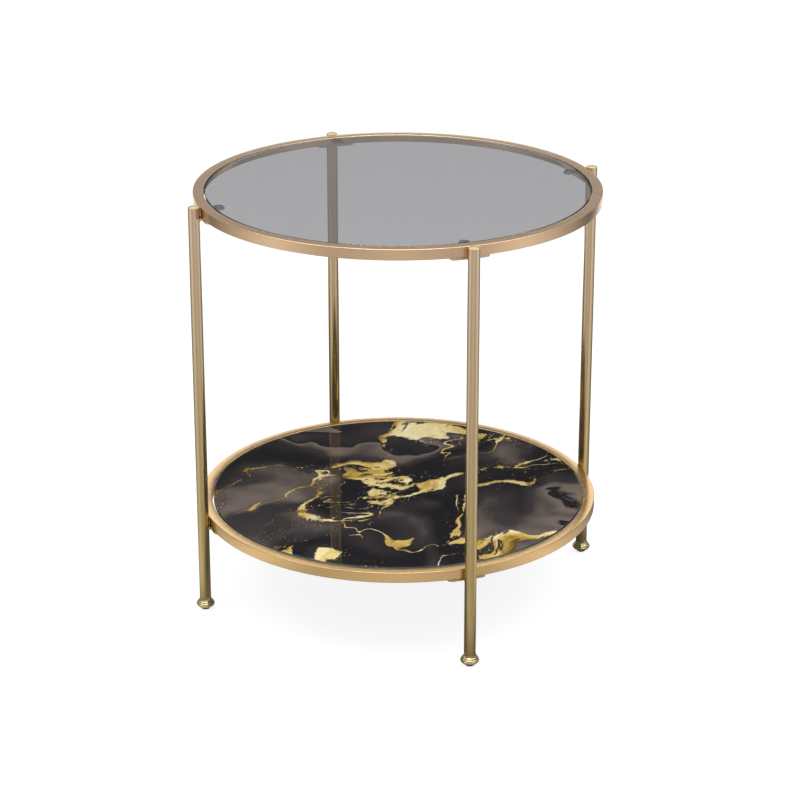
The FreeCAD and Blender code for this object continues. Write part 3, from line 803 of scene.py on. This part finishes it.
def plate(outlines, low, high, edge):
    """A flat plate with rounded edges. The first outline is its rim, and the others are holes."""
    curve = bpy.data.curves.new("plate", "CURVE")
    curve.dimensions = "2D"
    curve.fill_mode = "BOTH"
    curve.extrude = (high - low) / 2 - edge
    curve.bevel_depth = edge
    curve.bevel_resolution = 2
    curve.offset = -edge
    for outline in outlines:
        spline = curve.splines.new("POLY")
        spline.points.add(len(outline) - 1)
        for point, (x, y) in zip(spline.points, outline):
            point.co = (x, y, 0, 1)
        spline.use_cyclic_u = True
    holder = bpy.data.objects.new("plate", curve)
    bpy.context.scene.collection.objects.link(holder)
    evaluated = holder.evaluated_get(bpy.context.evaluated_depsgraph_get())
    mesh = bpy.data.meshes.new_from_object(evaluated)
    bpy.data.objects.remove(holder)
    shape = bmesh.new()
    shape.from_mesh(mesh)
    bmesh.ops.remove_doubles(shape, verts=shape.verts, dist=0.001 * MM)
    bmesh.ops.translate(shape, verts=shape.verts, vec=(0, 0, (low + high) / 2))
    return as_mesh(shape)


def joined(meshes):
    """One mesh of several."""
    shape = bmesh.new()
    for mesh in meshes:
        shape.from_mesh(mesh)
    return as_mesh(shape)


def add_piece(name, mesh, materials, nodes, body="frame"):
    """Adds a finished piece that rides on a body and stands for CAD nodes."""
    mesh.name = name
    mesh.materials.clear()
    for material in materials:
        mesh.materials.append(material)
    piece = bpy.data.objects.new(name, mesh)
    bpy.context.scene.collection.objects.link(piece)
    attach(piece, body)
    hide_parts(*nodes)


def add_at_legs(name, mesh, material, node, slot, **place):
    """Adds a copy of a piece at each leg. Its name and its node's name have a gap for the leg's side."""
    for side in LEG_TURNS:
        add_piece(name.format(side), at_leg(mesh, side, **place), [material], [node.format(side)])


def add_welded_plates(table, kind, outlines, bead_centre, bead_values):
    """Adds a plate at each leg of both tiers, with a weld bead along an arc at its lower face."""
    gold = finish_of("Satin gold plate", satin_gold, table.finish.leg_low_shaded, table.finish.leg_high, "plate")
    beads = tree_of(weld_tree, "Weld bead")
    for tier in TIERS:
        low, high = span(f"{tier}_{kind}_right", 2)
        shape = plate(outlines, low, high, table.metal.plate_edge)
        bead = grown(beads, {
            **bead_values, "Arc Centre": (*bead_centre, low), "Bead Radius": table.metal.weld_radius,
            "Material": gold,
        })
        whole = smooth(joined([shape, bead]), sharp_degrees=50.0)
        add_at_legs(f"{tier}_{kind}_{{}}_plate", whole, gold, f"{tier}_{kind}_{{}}", "satin_gold")


def ring_middle_radius(metal):
    """The radius at the middle of the ring's tube."""
    return RING_OUTER_RADIUS - metal.ring_tube_width / 2


class SIDETABLE_OT_rings(bpy.types.Operator):
    """Build the two hoops of square tube"""
    bl_idname = "side_table.rings"
    bl_label = "Rings"

    def execute(self, context):
        table = context.scene.side_table
        gold = finish_of("Satin gold hoop", satin_gold, table.finish.hoop_low_shaded, table.finish.hoop_high, "ring")
        tree = tree_of(hoop_tree, "Ring hoop")
        for tier in TIERS:
            mesh = grown(tree, {
                "Middle Radius": ring_middle_radius(table.metal), "Tube Width": table.metal.ring_tube_width,
                "Tube Height": RING_TUBE_HEIGHT, "Corner Radius": table.metal.ring_corner_radius,
                "Top Height": span(f"{tier}_ring", 2)[1], "Steps": table.metal.ring_steps, "Material": gold,
            })
            add_piece(f"{tier}_ring_hoop", smooth(mesh), [gold], [f"{tier}_ring"])
        return {"FINISHED"}


class SIDETABLE_OT_legs(bpy.types.Operator):
    """Build the four round tubes of the legs"""
    bl_idname = "side_table.legs"
    bl_label = "Legs"

    def execute(self, context):
        table = context.scene.side_table
        gold = finish_of("Satin gold tube", satin_gold, table.finish.leg_low_shaded, table.finish.leg_high, "tube")
        tree = tree_of(leg_tree, "Leg tube")
        for side, degrees in LEG_TURNS.items():
            turn = math.radians(degrees)
            x = LEG_CIRCLE_RADIUS * math.cos(turn)
            y = LEG_CIRCLE_RADIUS * math.sin(turn)
            mesh = grown(tree, {
                "Foot Point": (x, y, LEG_BOTTOM), "Top Point": (x, y, LEG_TOP), "Radius": LEG_RADIUS,
                "Steps": table.metal.leg_steps, "Material": gold,
            })
            add_piece(f"leg_{side}_tube", smooth(mesh), [gold], [f"leg_tube_{side}"])
        return {"FINISHED"}


class SIDETABLE_OT_caps(bpy.types.Operator):
    """Build the domed caps in the tops of the legs"""
    bl_idname = "side_table.caps"
    bl_label = "Caps"

    def execute(self, context):
        table = context.scene.side_table
        gold = finish_of("Polished gold casting", polished_gold, table.finish)
        metal = table.metal
        rim = LEG_TOP + metal.cap_rim_height
        rise = CAP_TOP - rim
        dome_radius = (LEG_RADIUS ** 2 + rise ** 2) / (2 * rise)
        half_angle = math.degrees(math.asin(LEG_RADIUS / dome_radius))
        dome_steps = 14
        dome = arc((0, CAP_TOP - dome_radius), dome_radius, 90 - half_angle, 90, dome_steps)
        outline = [
            (0, CAP_SPIGOT_LOW),
            (metal.spigot_radius, CAP_SPIGOT_LOW),
            (metal.spigot_radius, LEG_TOP),
            (LEG_RADIUS - metal.cap_groove, LEG_TOP),
            (LEG_RADIUS - metal.cap_groove, LEG_TOP + metal.cap_groove),
            (LEG_RADIUS, LEG_TOP + 2 * metal.cap_groove),
            *dome[:-1],
            (0, CAP_TOP),
        ]
        shape = smooth(lathe(outline, metal.leg_steps), sharp_degrees=30.0)
        add_at_legs("leg_{}_cap", shape, gold, "leg_cap_{}", "polished_gold", reach=LEG_CIRCLE_RADIUS)
        return {"FINISHED"}


class SIDETABLE_OT_feet(bpy.types.Operator):
    """Build the ribbed cast feet under the legs"""
    bl_idname = "side_table.feet"
    bl_label = "Feet"

    def execute(self, context):
        table = context.scene.side_table
        gold = finish_of("Polished gold casting", polished_gold, table.finish)
        foot = table.foot
        ribs = tree_of(rib_tree, "Foot ribs")
        ribbed = grown(ribs, {
            "Rib Bottom": foot.rib_bottom, "Foot Height": foot.height, "Rib Count": foot.rib_count,
            "Rib Depth": foot.rib_depth, "Strap Width": foot.strap_width, "Strap Rise": foot.strap_rise,
            "Strap Blend": foot.strap_blend, "Material": gold,
        }, base=lathe(self.outline(table), FOOT_STEPS))
        whole = smooth(joined([ribbed, *self.tips(foot)]), sharp_degrees=60.0)
        add_at_legs("foot_{}_casting", whole, gold, "foot_{}", "polished_gold",
                    reach=LEG_CIRCLE_RADIUS, height=FOOT_BOTTOM, spin=foot.turn)
        return {"FINISHED"}

    def outline(self, table):
        """The foot's smooth outline from its base up over the belly and the ogee to the collar and spigot."""
        foot = table.foot
        reach = foot.belly_radius - foot.base_radius
        swing = (reach ** 2 + foot.belly_height ** 2) / (2 * foot.belly_height)
        end_angle = math.degrees(math.asin(reach / swing))
        swell_steps = 16
        swell = arc((foot.base_radius, swing), swing, -90, -90 + end_angle, swell_steps)
        rows_per_rib = 12
        shoulder = foot.rib_bottom - foot.belly_height
        heights = [foot.belly_height + shoulder * row / rows_per_rib for row in range(rows_per_rib)]
        rows = foot.rib_count * rows_per_rib
        heights += [foot.rib_bottom + (foot.height - foot.rib_bottom) * row / rows for row in range(rows + 1)]
        bell = []
        for height in heights:
            rise_share = (height - foot.belly_height) / (foot.height - foot.belly_height)
            swell_share = (1 + math.cos(math.pi * rise_share)) / 2
            bell.append((foot.collar_radius + (foot.belly_radius - foot.collar_radius) * swell_share, height))
        spigot_top = FOOT_SPIGOT_TOP - FOOT_BOTTOM
        spigot_radius = table.metal.spigot_radius
        spigot = [(spigot_radius, foot.height), (spigot_radius, spigot_top), (0, spigot_top)]
        return [(0, 0), *swell[:-1], *bell, *spigot]

    def tips(self, foot):
        """The round tips of the two straps, bent round the leg, with their roots sunk in the collar."""
        half_width = foot.strap_width / 2
        inner = LEG_RADIUS + foot.tip_gap
        outer = foot.collar_radius + foot.strap_rise
        straight = foot.height + foot.strap_tip - half_width
        root = foot.height - foot.strap_rise
        columns = 12
        made = []
        for middle in (0.0, math.pi):
            shape = bmesh.new()
            rings = []
            for across, rise in arc((0, straight), half_width, 180.0, 0.0, columns):
                turn = middle + across / outer
                corners = ((inner, root), (outer, root), (outer, rise), (inner, rise))
                rings.append([
                    shape.verts.new((radius * math.cos(turn), radius * math.sin(turn), height))
                    for radius, height in corners
                ])
            for before, after in zip(rings, rings[1:]):
                for corner in range(len(before)):
                    beyond = (corner + 1) % len(before)
                    shape.faces.new((before[corner], after[corner], after[beyond], before[beyond]))
            shape.faces.new(rings[0])
            shape.faces.new(rings[-1])
            bmesh.ops.recalc_face_normals(shape, faces=shape.faces)
            made.append(as_mesh(shape))
        return made


class SIDETABLE_OT_glides(bpy.types.Operator):
    """Build the black glides under the feet"""
    bl_idname = "side_table.glides"
    bl_label = "Glides"

    def execute(self, context):
        table = context.scene.side_table
        nylon = finish_of("Black nylon", black_nylon, table.finish)
        edge = table.foot.glide_edge
        stem = table.foot.glide_stem_radius
        outline = [
            (0, 0),
            *arc((GLIDE_RADIUS - edge, edge), edge, -90, 0, EDGE_STEPS),
            (GLIDE_RADIUS, FOOT_BOTTOM),
            (stem, FOOT_BOTTOM),
            (stem, GLIDE_STEM_TOP),
            (0, GLIDE_STEM_TOP),
        ]
        shape = smooth(lathe(outline, SMALL_STEPS))
        add_at_legs("glide_{}_disc", shape, nylon, "glide_{}", "black_glide", reach=LEG_CIRCLE_RADIUS)
        return {"FINISHED"}


class SIDETABLE_OT_brackets(bpy.types.Operator):
    """Build the plates under the rings, with their welds to the legs"""
    bl_idname = "side_table.brackets"
    bl_label = "Brackets"

    def execute(self, context):
        table = context.scene.side_table
        metal = table.metal
        half_angle = math.asin(metal.tongue_width / 2 / LEG_RADIUS)
        add_welded_plates(table, "bracket", self.outlines(table), (LEG_CIRCLE_RADIUS, 0.0), {
            "Arc Radius": LEG_RADIUS, "Start Angle": math.pi - half_angle, "Sweep Angle": 2 * half_angle,
            "Ripples": round(2 * half_angle * LEG_RADIUS / metal.weld_ripple),
        })
        return {"FINISHED"}

    def outlines(self, table):
        """The rim of the bracket at the leg on +X, its tongue cut to the leg's round, and its screw holes."""
        metal = table.metal
        fixing = table.fixing
        middle = ring_middle_radius(metal)
        end_radius = metal.bracket_width / 2
        end_offset = BRACKET_LENGTH / 2 - end_radius
        cut_radius = LEG_RADIUS + metal.weld_gap
        half_tongue = metal.tongue_width / 2
        cut_angle = math.degrees(math.asin(half_tongue / cut_radius))
        cut_steps = 16
        rim = [
            *arc((middle, -end_offset), end_radius, 180, 360, PLATE_END_STEPS),
            (middle + end_radius, -half_tongue),
            *arc((LEG_CIRCLE_RADIUS, 0), cut_radius, 180 + cut_angle, 180 - cut_angle, cut_steps),
            (middle + end_radius, half_tongue),
            *arc((middle, end_offset), end_radius, 0, 180, PLATE_END_STEPS),
        ]
        hole_radius = fixing.head_radius + fixing.hole_clearance
        hole_steps = 36
        offsets = (-fixing.screw_spacing / 2, fixing.screw_spacing / 2)
        return [rim, *(circle((middle, offset), hole_radius, hole_steps) for offset in offsets)]


class SIDETABLE_OT_screws(bpy.types.Operator):
    """Build the countersunk screws in the brackets and finish the inserts that they turn into"""
    bl_idname = "side_table.screws"
    bl_label = "Screws"

    def execute(self, context):
        table = context.scene.side_table
        zinc = finish_of("Zinc plated steel", zinc_steel, table.finish)
        screw = self.screw(table.fixing)
        tree = tree_of(screw_tree, "Bracket screws")
        for tier in TIERS:
            low = span(f"{tier}_bracket_screws", 2)[0]
            mesh = grown(tree, {
                "Circle Radius": ring_middle_radius(table.metal), "Spacing": table.fixing.screw_spacing,
                "Height": low + table.fixing.head_sink, "Leg Count": len(LEG_TURNS), "Material": zinc,
            }, base=screw.copy())
            add_piece(f"{tier}_screw_set", smooth(mesh, sharp_degrees=30.0), [zinc],
                      [f"{tier}_bracket_screws"])
            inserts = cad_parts[f"{tier}_ring_inserts"]
            inserts.data.materials.clear()
            inserts.data.materials.append(zinc)
        return {"FINISHED"}

    def screw(self, fixing):
        """One screw, head down, with a hexagon socket in its head."""
        top = fixing.screw_length - fixing.head_sink
        lip = fixing.head_radius * 0.94
        socket_reach = fixing.socket_width * 0.51
        side_angle = math.radians(60.0)
        outline = [
            (0, fixing.socket_depth),
            (fixing.socket_width / 2, fixing.socket_depth),
            (fixing.socket_width / 2, 0),
            (lip, 0),
            (fixing.head_radius, fixing.head_radius - lip),
            (fixing.screw_radius, fixing.head_height),
            (fixing.screw_radius, top),
            (0, top),
        ]
        mesh = lathe(outline, SCREW_STEPS)
        # The round socket becomes a hexagon of the same width across its flats
        for vertex in mesh.vertices:
            reach = vertex.co.xy.length
            if 0 < reach < socket_reach and vertex.co.z <= fixing.socket_depth:
                turn = math.atan2(vertex.co.y, vertex.co.x) % side_angle - side_angle / 2
                vertex.co.xy *= 1 / math.cos(turn)
        return mesh


class SIDETABLE_OT_tabs(bpy.types.Operator):
    """Build the tabs on the rings' inner walls, with their welds"""
    bl_idname = "side_table.tabs"
    bl_label = "Tabs"

    def execute(self, context):
        table = context.scene.side_table
        metal = table.metal
        wall = RING_OUTER_RADIUS - metal.ring_tube_width
        half_angle = math.asin(TAB_WIDTH / 2 / wall)
        wall_steps = 8
        half_degrees = math.degrees(half_angle)
        rim = [
            *arc((0, 0), wall - metal.weld_gap, -half_degrees, half_degrees, wall_steps),
            *arc((PAD_CIRCLE_RADIUS, 0), TAB_WIDTH / 2, 90, 270, PLATE_END_STEPS),
        ]
        hole_radius = table.fixing.stem_radius + table.fixing.hole_clearance
        hole_steps = 24
        hole = circle((PAD_CIRCLE_RADIUS, 0), hole_radius, hole_steps)
        # The bead stops short of the tab's corners
        half_bead = 0.9 * half_angle
        add_welded_plates(table, "tab", [rim, hole], (0.0, 0.0), {
            "Arc Radius": wall, "Start Angle": -half_bead, "Sweep Angle": 2 * half_bead,
            "Ripples": round(TAB_WIDTH / metal.weld_ripple),
        })
        return {"FINISHED"}


class SIDETABLE_OT_pads(bpy.types.Operator):
    """Build the soft pads that the glass lies on"""
    bl_idname = "side_table.pads"
    bl_label = "Pads"

    def execute(self, context):
        table = context.scene.side_table
        silicone = finish_of("Clear silicone", clear_silicone, table.finish)
        fixing = table.fixing
        edge = fixing.pad_edge
        lip = PAD_RADIUS - 2 * edge
        # Shares of the dish's radius and depth, from its lip to its middle
        dish = ((1.0, 0.0), (0.7, 0.8), (0.35, 1.0), (0.0, 1.0))
        for tier in TIERS:
            stem_low, top = span(f"{tier}_pad_right", 2)
            seat = top - fixing.pad_thickness
            outline = [
                (0, stem_low),
                (fixing.stem_radius - edge, stem_low),
                (fixing.stem_radius, stem_low + edge),
                (fixing.stem_radius, seat),
                (PAD_RADIUS, seat),
                *arc((PAD_RADIUS - edge, top - edge), edge, 0, 90, EDGE_STEPS),
                *((lip * reach, top - fixing.pad_dish * depth) for reach, depth in dish),
            ]
            shape = smooth(lathe(outline, SMALL_STEPS))
            add_at_legs(f"{tier}_pad_{{}}_disc", shape, silicone, f"{tier}_pad_{{}}", "clear_pad",
                        reach=PAD_CIRCLE_RADIUS)
        return {"FINISHED"}


def glass_disc(node, arris):
    """A disc with a ground arris round both faces, its rim marked by an attribute."""
    low, high = span(node, 2)
    outline = [
        (0, low),
        (PANEL_RADIUS - arris, low),
        (PANEL_RADIUS, low + arris),
        (PANEL_RADIUS, high - arris),
        (PANEL_RADIUS - arris, high),
        (0, high),
    ]
    mesh = lathe(outline, DISC_STEPS)
    edge = mesh.attributes.new("edge", "FLOAT", "FACE")
    falloff = 8
    for face in mesh.polygons:
        edge.data[face.index].value = 1.0 - abs(face.normal.z) ** falloff
    return smooth(mesh, sharp_degrees=20.0)


class SIDETABLE_OT_top_glass(bpy.types.Operator):
    """Build the smoked glass disc of the top"""
    bl_idname = "side_table.top_glass"
    bl_label = "Top Glass"

    def execute(self, context):
        table = context.scene.side_table
        glass = finish_of("Smoked glass", smoked_glass, table.finish)
        mesh = glass_disc("top_glass", table.fixing.glass_arris)
        add_piece("top_glass_disc", mesh, [glass], ["top_glass"], "top_glass")
        return {"FINISHED"}


class SIDETABLE_OT_shelf_panel(bpy.types.Operator):
    """Build the marbled glass disc of the shelf"""
    bl_idname = "side_table.shelf_panel"
    bl_label = "Shelf Panel"

    def execute(self, context):
        table = context.scene.side_table
        faces = [
            finish_of("Marbled print behind glass", marbled_print, table.finish),
            finish_of("Ground glass edge", ground_edge),
            finish_of("Grey backing enamel", backing_enamel, table.finish),
        ]
        mesh = glass_disc("shelf_panel", table.fixing.glass_arris)
        add_piece("shelf_panel_disc", mesh, faces, ["shelf_panel"], "shelf_panel")
        # The print is on top, the enamel below and the ground edge between
        nearly_upright = 0.99
        for face in mesh.polygons:
            upward = face.normal.z
            face.material_index = 0 if upward > nearly_upright else 2 if upward < -nearly_upright else 1
        return {"FINISHED"}


class SIDETABLE_OT_stage(bpy.types.Operator):
    """Set up the pale floor, the soft light and the camera"""
    bl_idname = "side_table.stage"
    bl_label = "Stage"

    def execute(self, context):
        stage = context.scene.side_table.stage
        context.scene.view_settings.view_transform = "Standard"
        self.floor(context, stage)
        self.backdrop(context)
        self.floor_card(context, stage)
        self.back_cards(context, stage)
        self.dome(context, stage)
        self.softboxes(context, stage)
        self.camera(context, stage)
        return {"FINISHED"}

    def floor(self, context, stage):
        """A wide pale floor that glows a little, as a lit white table does, and is clear from below."""
        half_width = 20.0
        shape = bmesh.new()
        bmesh.ops.create_grid(shape, x_segments=1, y_segments=1, size=half_width)
        material, tree = new_material("White acrylic floor")
        white = add_node(tree, "ShaderNodeBsdfPrincipled", {
            "Base Color": tuple(stage.floor_colour), "Roughness": 0.9, "Specular IOR Level": 0.0,
            "Emission Color": (1.0, 1.0, 1.0, 1.0), "Emission Strength": stage.floor_glow,
        })
        behind = add_node(tree, "ShaderNodeNewGeometry").outputs["Backfacing"]
        clear = add_node(tree, "ShaderNodeBsdfTransparent")
        mixed = add_node(tree, "ShaderNodeMixShader", {"Fac": behind, 1: white, 2: clear})
        add_node(tree, "ShaderNodeOutputMaterial", {"Surface": mixed})
        self.add_set(context, "floor", shape, material)

    def backdrop(self, context):
        """A white wall far behind the table on every side, which only the camera sees."""
        radius = 14.0
        low = -8.0
        high = 14.0
        wall_steps = 48
        shape = bmesh.new()
        columns = []
        for x, y in arc((0, 0), radius, 0.0, 360.0, wall_steps):
            columns.append((shape.verts.new((x, y, low)), shape.verts.new((x, y, high))))
        for before, after in zip(columns, columns[1:]):
            shape.faces.new((*before, *reversed(after)))
        material, tree = new_material("White backdrop")
        glow = add_node(tree, "ShaderNodeEmission", {"Strength": 1.05})
        add_node(tree, "ShaderNodeOutputMaterial", {"Surface": glow})
        wall = self.add_set(context, "backdrop", shape, material)
        wall.visible_diffuse = False
        wall.visible_glossy = False
        wall.visible_shadow = False

    def add_set(self, context, name, shape, material):
        """Adds a piece of the studio."""
        made = bpy.data.objects.new(name, as_mesh(shape))
        context.scene.collection.objects.link(made)
        made.data.materials.append(material)
        return made

    def add_card(self, context, name, shape, material):
        """Adds a card that only polished faces mirror."""
        card = self.add_set(context, name, shape, material)
        card.visible_camera = False
        card.visible_diffuse = False
        card.visible_transmission = False
        card.visible_shadow = False
        return card

    def floor_card(self, context, stage):
        """A card on the floor in light and dark fans round the table, darker near its middle."""
        half_width = 8.0
        height = 0.3 * MM
        shape = bmesh.new()
        bmesh.ops.create_grid(shape, x_segments=1, y_segments=1, size=half_width)
        bmesh.ops.translate(shape, vec=(0, 0, height), verts=shape.verts)
        material, tree = new_material("Light and dark fans")
        coordinates = add_node(tree, "ShaderNodeTexCoord").outputs["Object"]
        turned = add_node(tree, "ShaderNodeMapping", {
            "Vector": coordinates, "Rotation": (0.0, 0.0, -stage.camera_turn),
        })
        place = add_node(tree, "ShaderNodeSeparateXYZ", {0: turned})
        toward = add_node(tree, "ShaderNodeMath", {0: place.outputs["Y"], 1: -1.0}, operation="MULTIPLY")
        angle = add_node(tree, "ShaderNodeMath", {0: place.outputs["X"], 1: toward}, operation="ARCTAN2")
        away = add_node(tree, "ShaderNodeMath", {0: angle}, operation="ABSOLUTE")
        share = add_node(tree, "ShaderNodeMath", {0: away, 1: math.pi}, operation="DIVIDE")
        # Brightness by the share of a half turn away from the camera
        levels = ((0.0, 0.82), (0.20, 0.62), (0.38, 1.1), (0.70, 0.14), (1.0, 0.5))
        fans = add_node(tree, "ShaderNodeValToRGB", {"Fac": share},
                        stops=[(position, (level, level, level, 1.0)) for position, level in levels])
        reach = add_node(tree, "ShaderNodeVectorMath", {0: coordinates}, operation="LENGTH")
        fade = add_node(tree, "ShaderNodeMapRange", {
            "Value": reach.outputs["Value"], "From Min": 0.24, "From Max": 0.4, "To Min": 0.25, "To Max": 1.0,
        }, interpolation_type="SMOOTHSTEP")
        glow = add_node(tree, "ShaderNodeEmission", {"Color": fans, "Strength": fade})
        add_node(tree, "ShaderNodeOutputMaterial", {"Surface": glow})
        self.add_card(context, "floor_card", shape, material)

    def back_cards(self, context, stage):
        """A bright card behind the table with a dark oval just before it. The shelf mirrors the oval, and its
        satin ring both."""
        shelf_top = span("shelf_panel", 2)[1]
        shelf_radius = span("shelf_panel", 0)[1]
        distance = 0.6
        behind = distance + 5.0 * MM
        half_width = 0.9
        low = 0.14
        high = 0.635
        # Where the card starts to thin out to its ends, and the height up to which its lower edge does
        ends_start = 0.55
        edge_top = 0.26
        # The oval is the shelf's outline, cast on the card from the camera's mirror image below the shelf
        drop = stage.camera_height - shelf_top
        oval_steps = 96
        oval = []
        for x, y in circle((0, 0), shelf_radius, oval_steps):
            stretch = (stage.camera_distance + distance) / (stage.camera_distance + y)
            oval.append((x * stretch, distance, shelf_top + drop * (stretch - 1.0)))
        corners = ((-half_width, low), (half_width, low), (half_width, high), (-half_width, high))
        card = [(x, behind, z) for x, z in corners]
        for name, outline, brightness in (("dark_oval", oval, 0.07), ("bright_card", card, 1.4)):
            shape = bmesh.new()
            shape.faces.new([shape.verts.new(point) for point in outline])
            material, tree = new_material(name)
            coordinates = add_node(tree, "ShaderNodeTexCoord").outputs["Object"]
            place = add_node(tree, "ShaderNodeSeparateXYZ", {0: coordinates})
            aside = add_node(tree, "ShaderNodeMath", {0: place.outputs["X"]}, operation="ABSOLUTE")
            # Both dim softly to the sides
            strength = add_node(tree, "ShaderNodeMapRange", {
                "Value": aside, "From Min": 0.4, "From Max": 0.85, "To Min": brightness,
                "To Max": 0.45 * brightness,
            }, interpolation_type="SMOOTHSTEP")
            glow = add_node(tree, "ShaderNodeEmission", {"Strength": strength})
            # The card's ends and lower edge thin out to nothing, so that they show only softly in the glass
            clear = add_node(tree, "ShaderNodeBsdfTransparent")
            ends = add_node(tree, "ShaderNodeMapRange",
                            {"Value": aside, "From Min": ends_start, "From Max": half_width},
                            interpolation_type="SMOOTHSTEP")
            edge = add_node(tree, "ShaderNodeMapRange", {
                "Value": place.outputs["Z"], "From Min": low, "From Max": edge_top, "To Min": 1.0,
                "To Max": 0.0,
            }, interpolation_type="SMOOTHSTEP")
            thin = add_node(tree, "ShaderNodeMath", {0: ends, 1: edge}, operation="MAXIMUM")
            mixed = add_node(tree, "ShaderNodeMixShader", {"Fac": thin, 1: glow, 2: clear})
            add_node(tree, "ShaderNodeOutputMaterial", {"Surface": mixed})
            made = self.add_card(context, name, shape, material)
            made.rotation_euler.z = stage.camera_turn

    def dome(self, context, stage):
        """Even studio light, dim toward the horizon and bright overhead."""
        world = bpy.data.worlds.new("Studio")
        world.use_nodes = True
        tree = world.node_tree
        tree.nodes.clear()
        direction = add_node(tree, "ShaderNodeTexCoord").outputs["Generated"]
        place = add_node(tree, "ShaderNodeSeparateXYZ", {0: direction})
        brightness = add_node(tree, "ShaderNodeMapRange", {
            "Value": place.outputs["Z"], "From Min": 0.25, "From Max": 0.85, "To Min": stage.dome_low,
            "To Max": stage.dome_high,
        }, interpolation_type="SMOOTHSTEP")
        light = add_node(tree, "ShaderNodeBackground",
                         {"Color": (1.0, 1.0, 1.0, 1.0), "Strength": brightness})
        add_node(tree, "ShaderNodeOutputWorld", {"Surface": light})
        context.scene.world = world

    def softboxes(self, context, stage):
        """A broad softbox overhead, a little toward the camera, and a strip to each side for the castings."""
        middle = Vector((0, 0, 0.3))
        # Name, turn from the camera and height in degrees, distance, width and length, share of the power
        for name, turn, height, distance, width, length, share in (
            ("overhead_softbox", 0.0, 74.0, 2.2, 1.4, 0.9, 1.0),
            ("left_strip", -65.0, 46.0, 1.8, 1.3, 0.5, 0.3),
            ("right_strip", 65.0, 46.0, 1.8, 1.3, 0.5, 0.3),
        ):
            data = bpy.data.lights.new(name, "AREA")
            data.shape = "RECTANGLE"
            data.size = width
            data.size_y = length
            data.energy = stage.softbox_power * share
            light = bpy.data.objects.new(name, data)
            context.scene.collection.objects.link(light)
            heading = stage.camera_turn + math.radians(turn)
            rise = math.radians(height)
            level = math.cos(rise)
            toward = Vector((math.sin(heading) * level, -math.cos(heading) * level, math.sin(rise)))
            light.location = middle + toward * distance
            light.rotation_euler = toward.to_track_quat("Z", "Y").to_euler()
            light.visible_camera = False

    def camera(self, context, stage):
        """A camera at the photograph's place and angle."""
        data = bpy.data.cameras.new("camera")
        data.sensor_width = 36.0
        data.lens = stage.camera_lens
        camera = bpy.data.objects.new("camera", data)
        context.scene.collection.objects.link(camera)
        reach = stage.camera_distance
        camera.location = (reach * math.sin(stage.camera_turn), -reach * math.cos(stage.camera_turn),
                           stage.camera_height)
        camera.rotation_euler = (math.pi / 2 - stage.camera_pitch, 0, stage.camera_heading)
        context.scene.camera = camera


PIECES = (
    SIDETABLE_OT_rings, SIDETABLE_OT_legs, SIDETABLE_OT_caps, SIDETABLE_OT_feet, SIDETABLE_OT_glides,
    SIDETABLE_OT_brackets, SIDETABLE_OT_screws, SIDETABLE_OT_tabs, SIDETABLE_OT_pads, SIDETABLE_OT_top_glass,
    SIDETABLE_OT_shelf_panel, SIDETABLE_OT_stage,
)


class SIDETABLE_PT_panel(bpy.types.Panel):
    """Lists the pieces of the side table and their settings"""
    bl_idname = "SIDETABLE_PT_panel"
    bl_label = "Side Table"
    bl_space_type = "VIEW_3D"
    bl_region_type = "UI"
    bl_category = "Side Table"

    def draw(self, context):
        table = context.scene.side_table
        for piece in PIECES:
            self.layout.operator(piece.bl_idname)
        for group in (table.metal, table.foot, table.fixing, table.finish, table.stage):
            box = self.layout.box()
            for name in group.bl_rna.properties.keys():
                if name not in ("rna_type", "name"):
                    box.prop(group, name)


SETTINGS = (MetalSizes, FootSizes, FixingSizes, Finishes, StageSettings, SideTable)
CLASSES = (*SETTINGS, *PIECES, SIDETABLE_PT_panel)


def register():
    for item in CLASSES:
        bpy.utils.register_class(item)
    bpy.types.Scene.side_table = PointerProperty(type=SideTable)


def unregister():
    del bpy.types.Scene.side_table
    for item in reversed(CLASSES):
        bpy.utils.unregister_class(item)


def main():
    register()
    bpy.ops.side_table.rings()
    bpy.ops.side_table.legs()
    bpy.ops.side_table.caps()
    bpy.ops.side_table.feet()
    bpy.ops.side_table.glides()
    bpy.ops.side_table.brackets()
    bpy.ops.side_table.screws()
    bpy.ops.side_table.tabs()
    bpy.ops.side_table.pads()
    bpy.ops.side_table.top_glass()
    bpy.ops.side_table.shelf_panel()
    bpy.ops.side_table.stage()


if __name__ == "__main__":
    main()
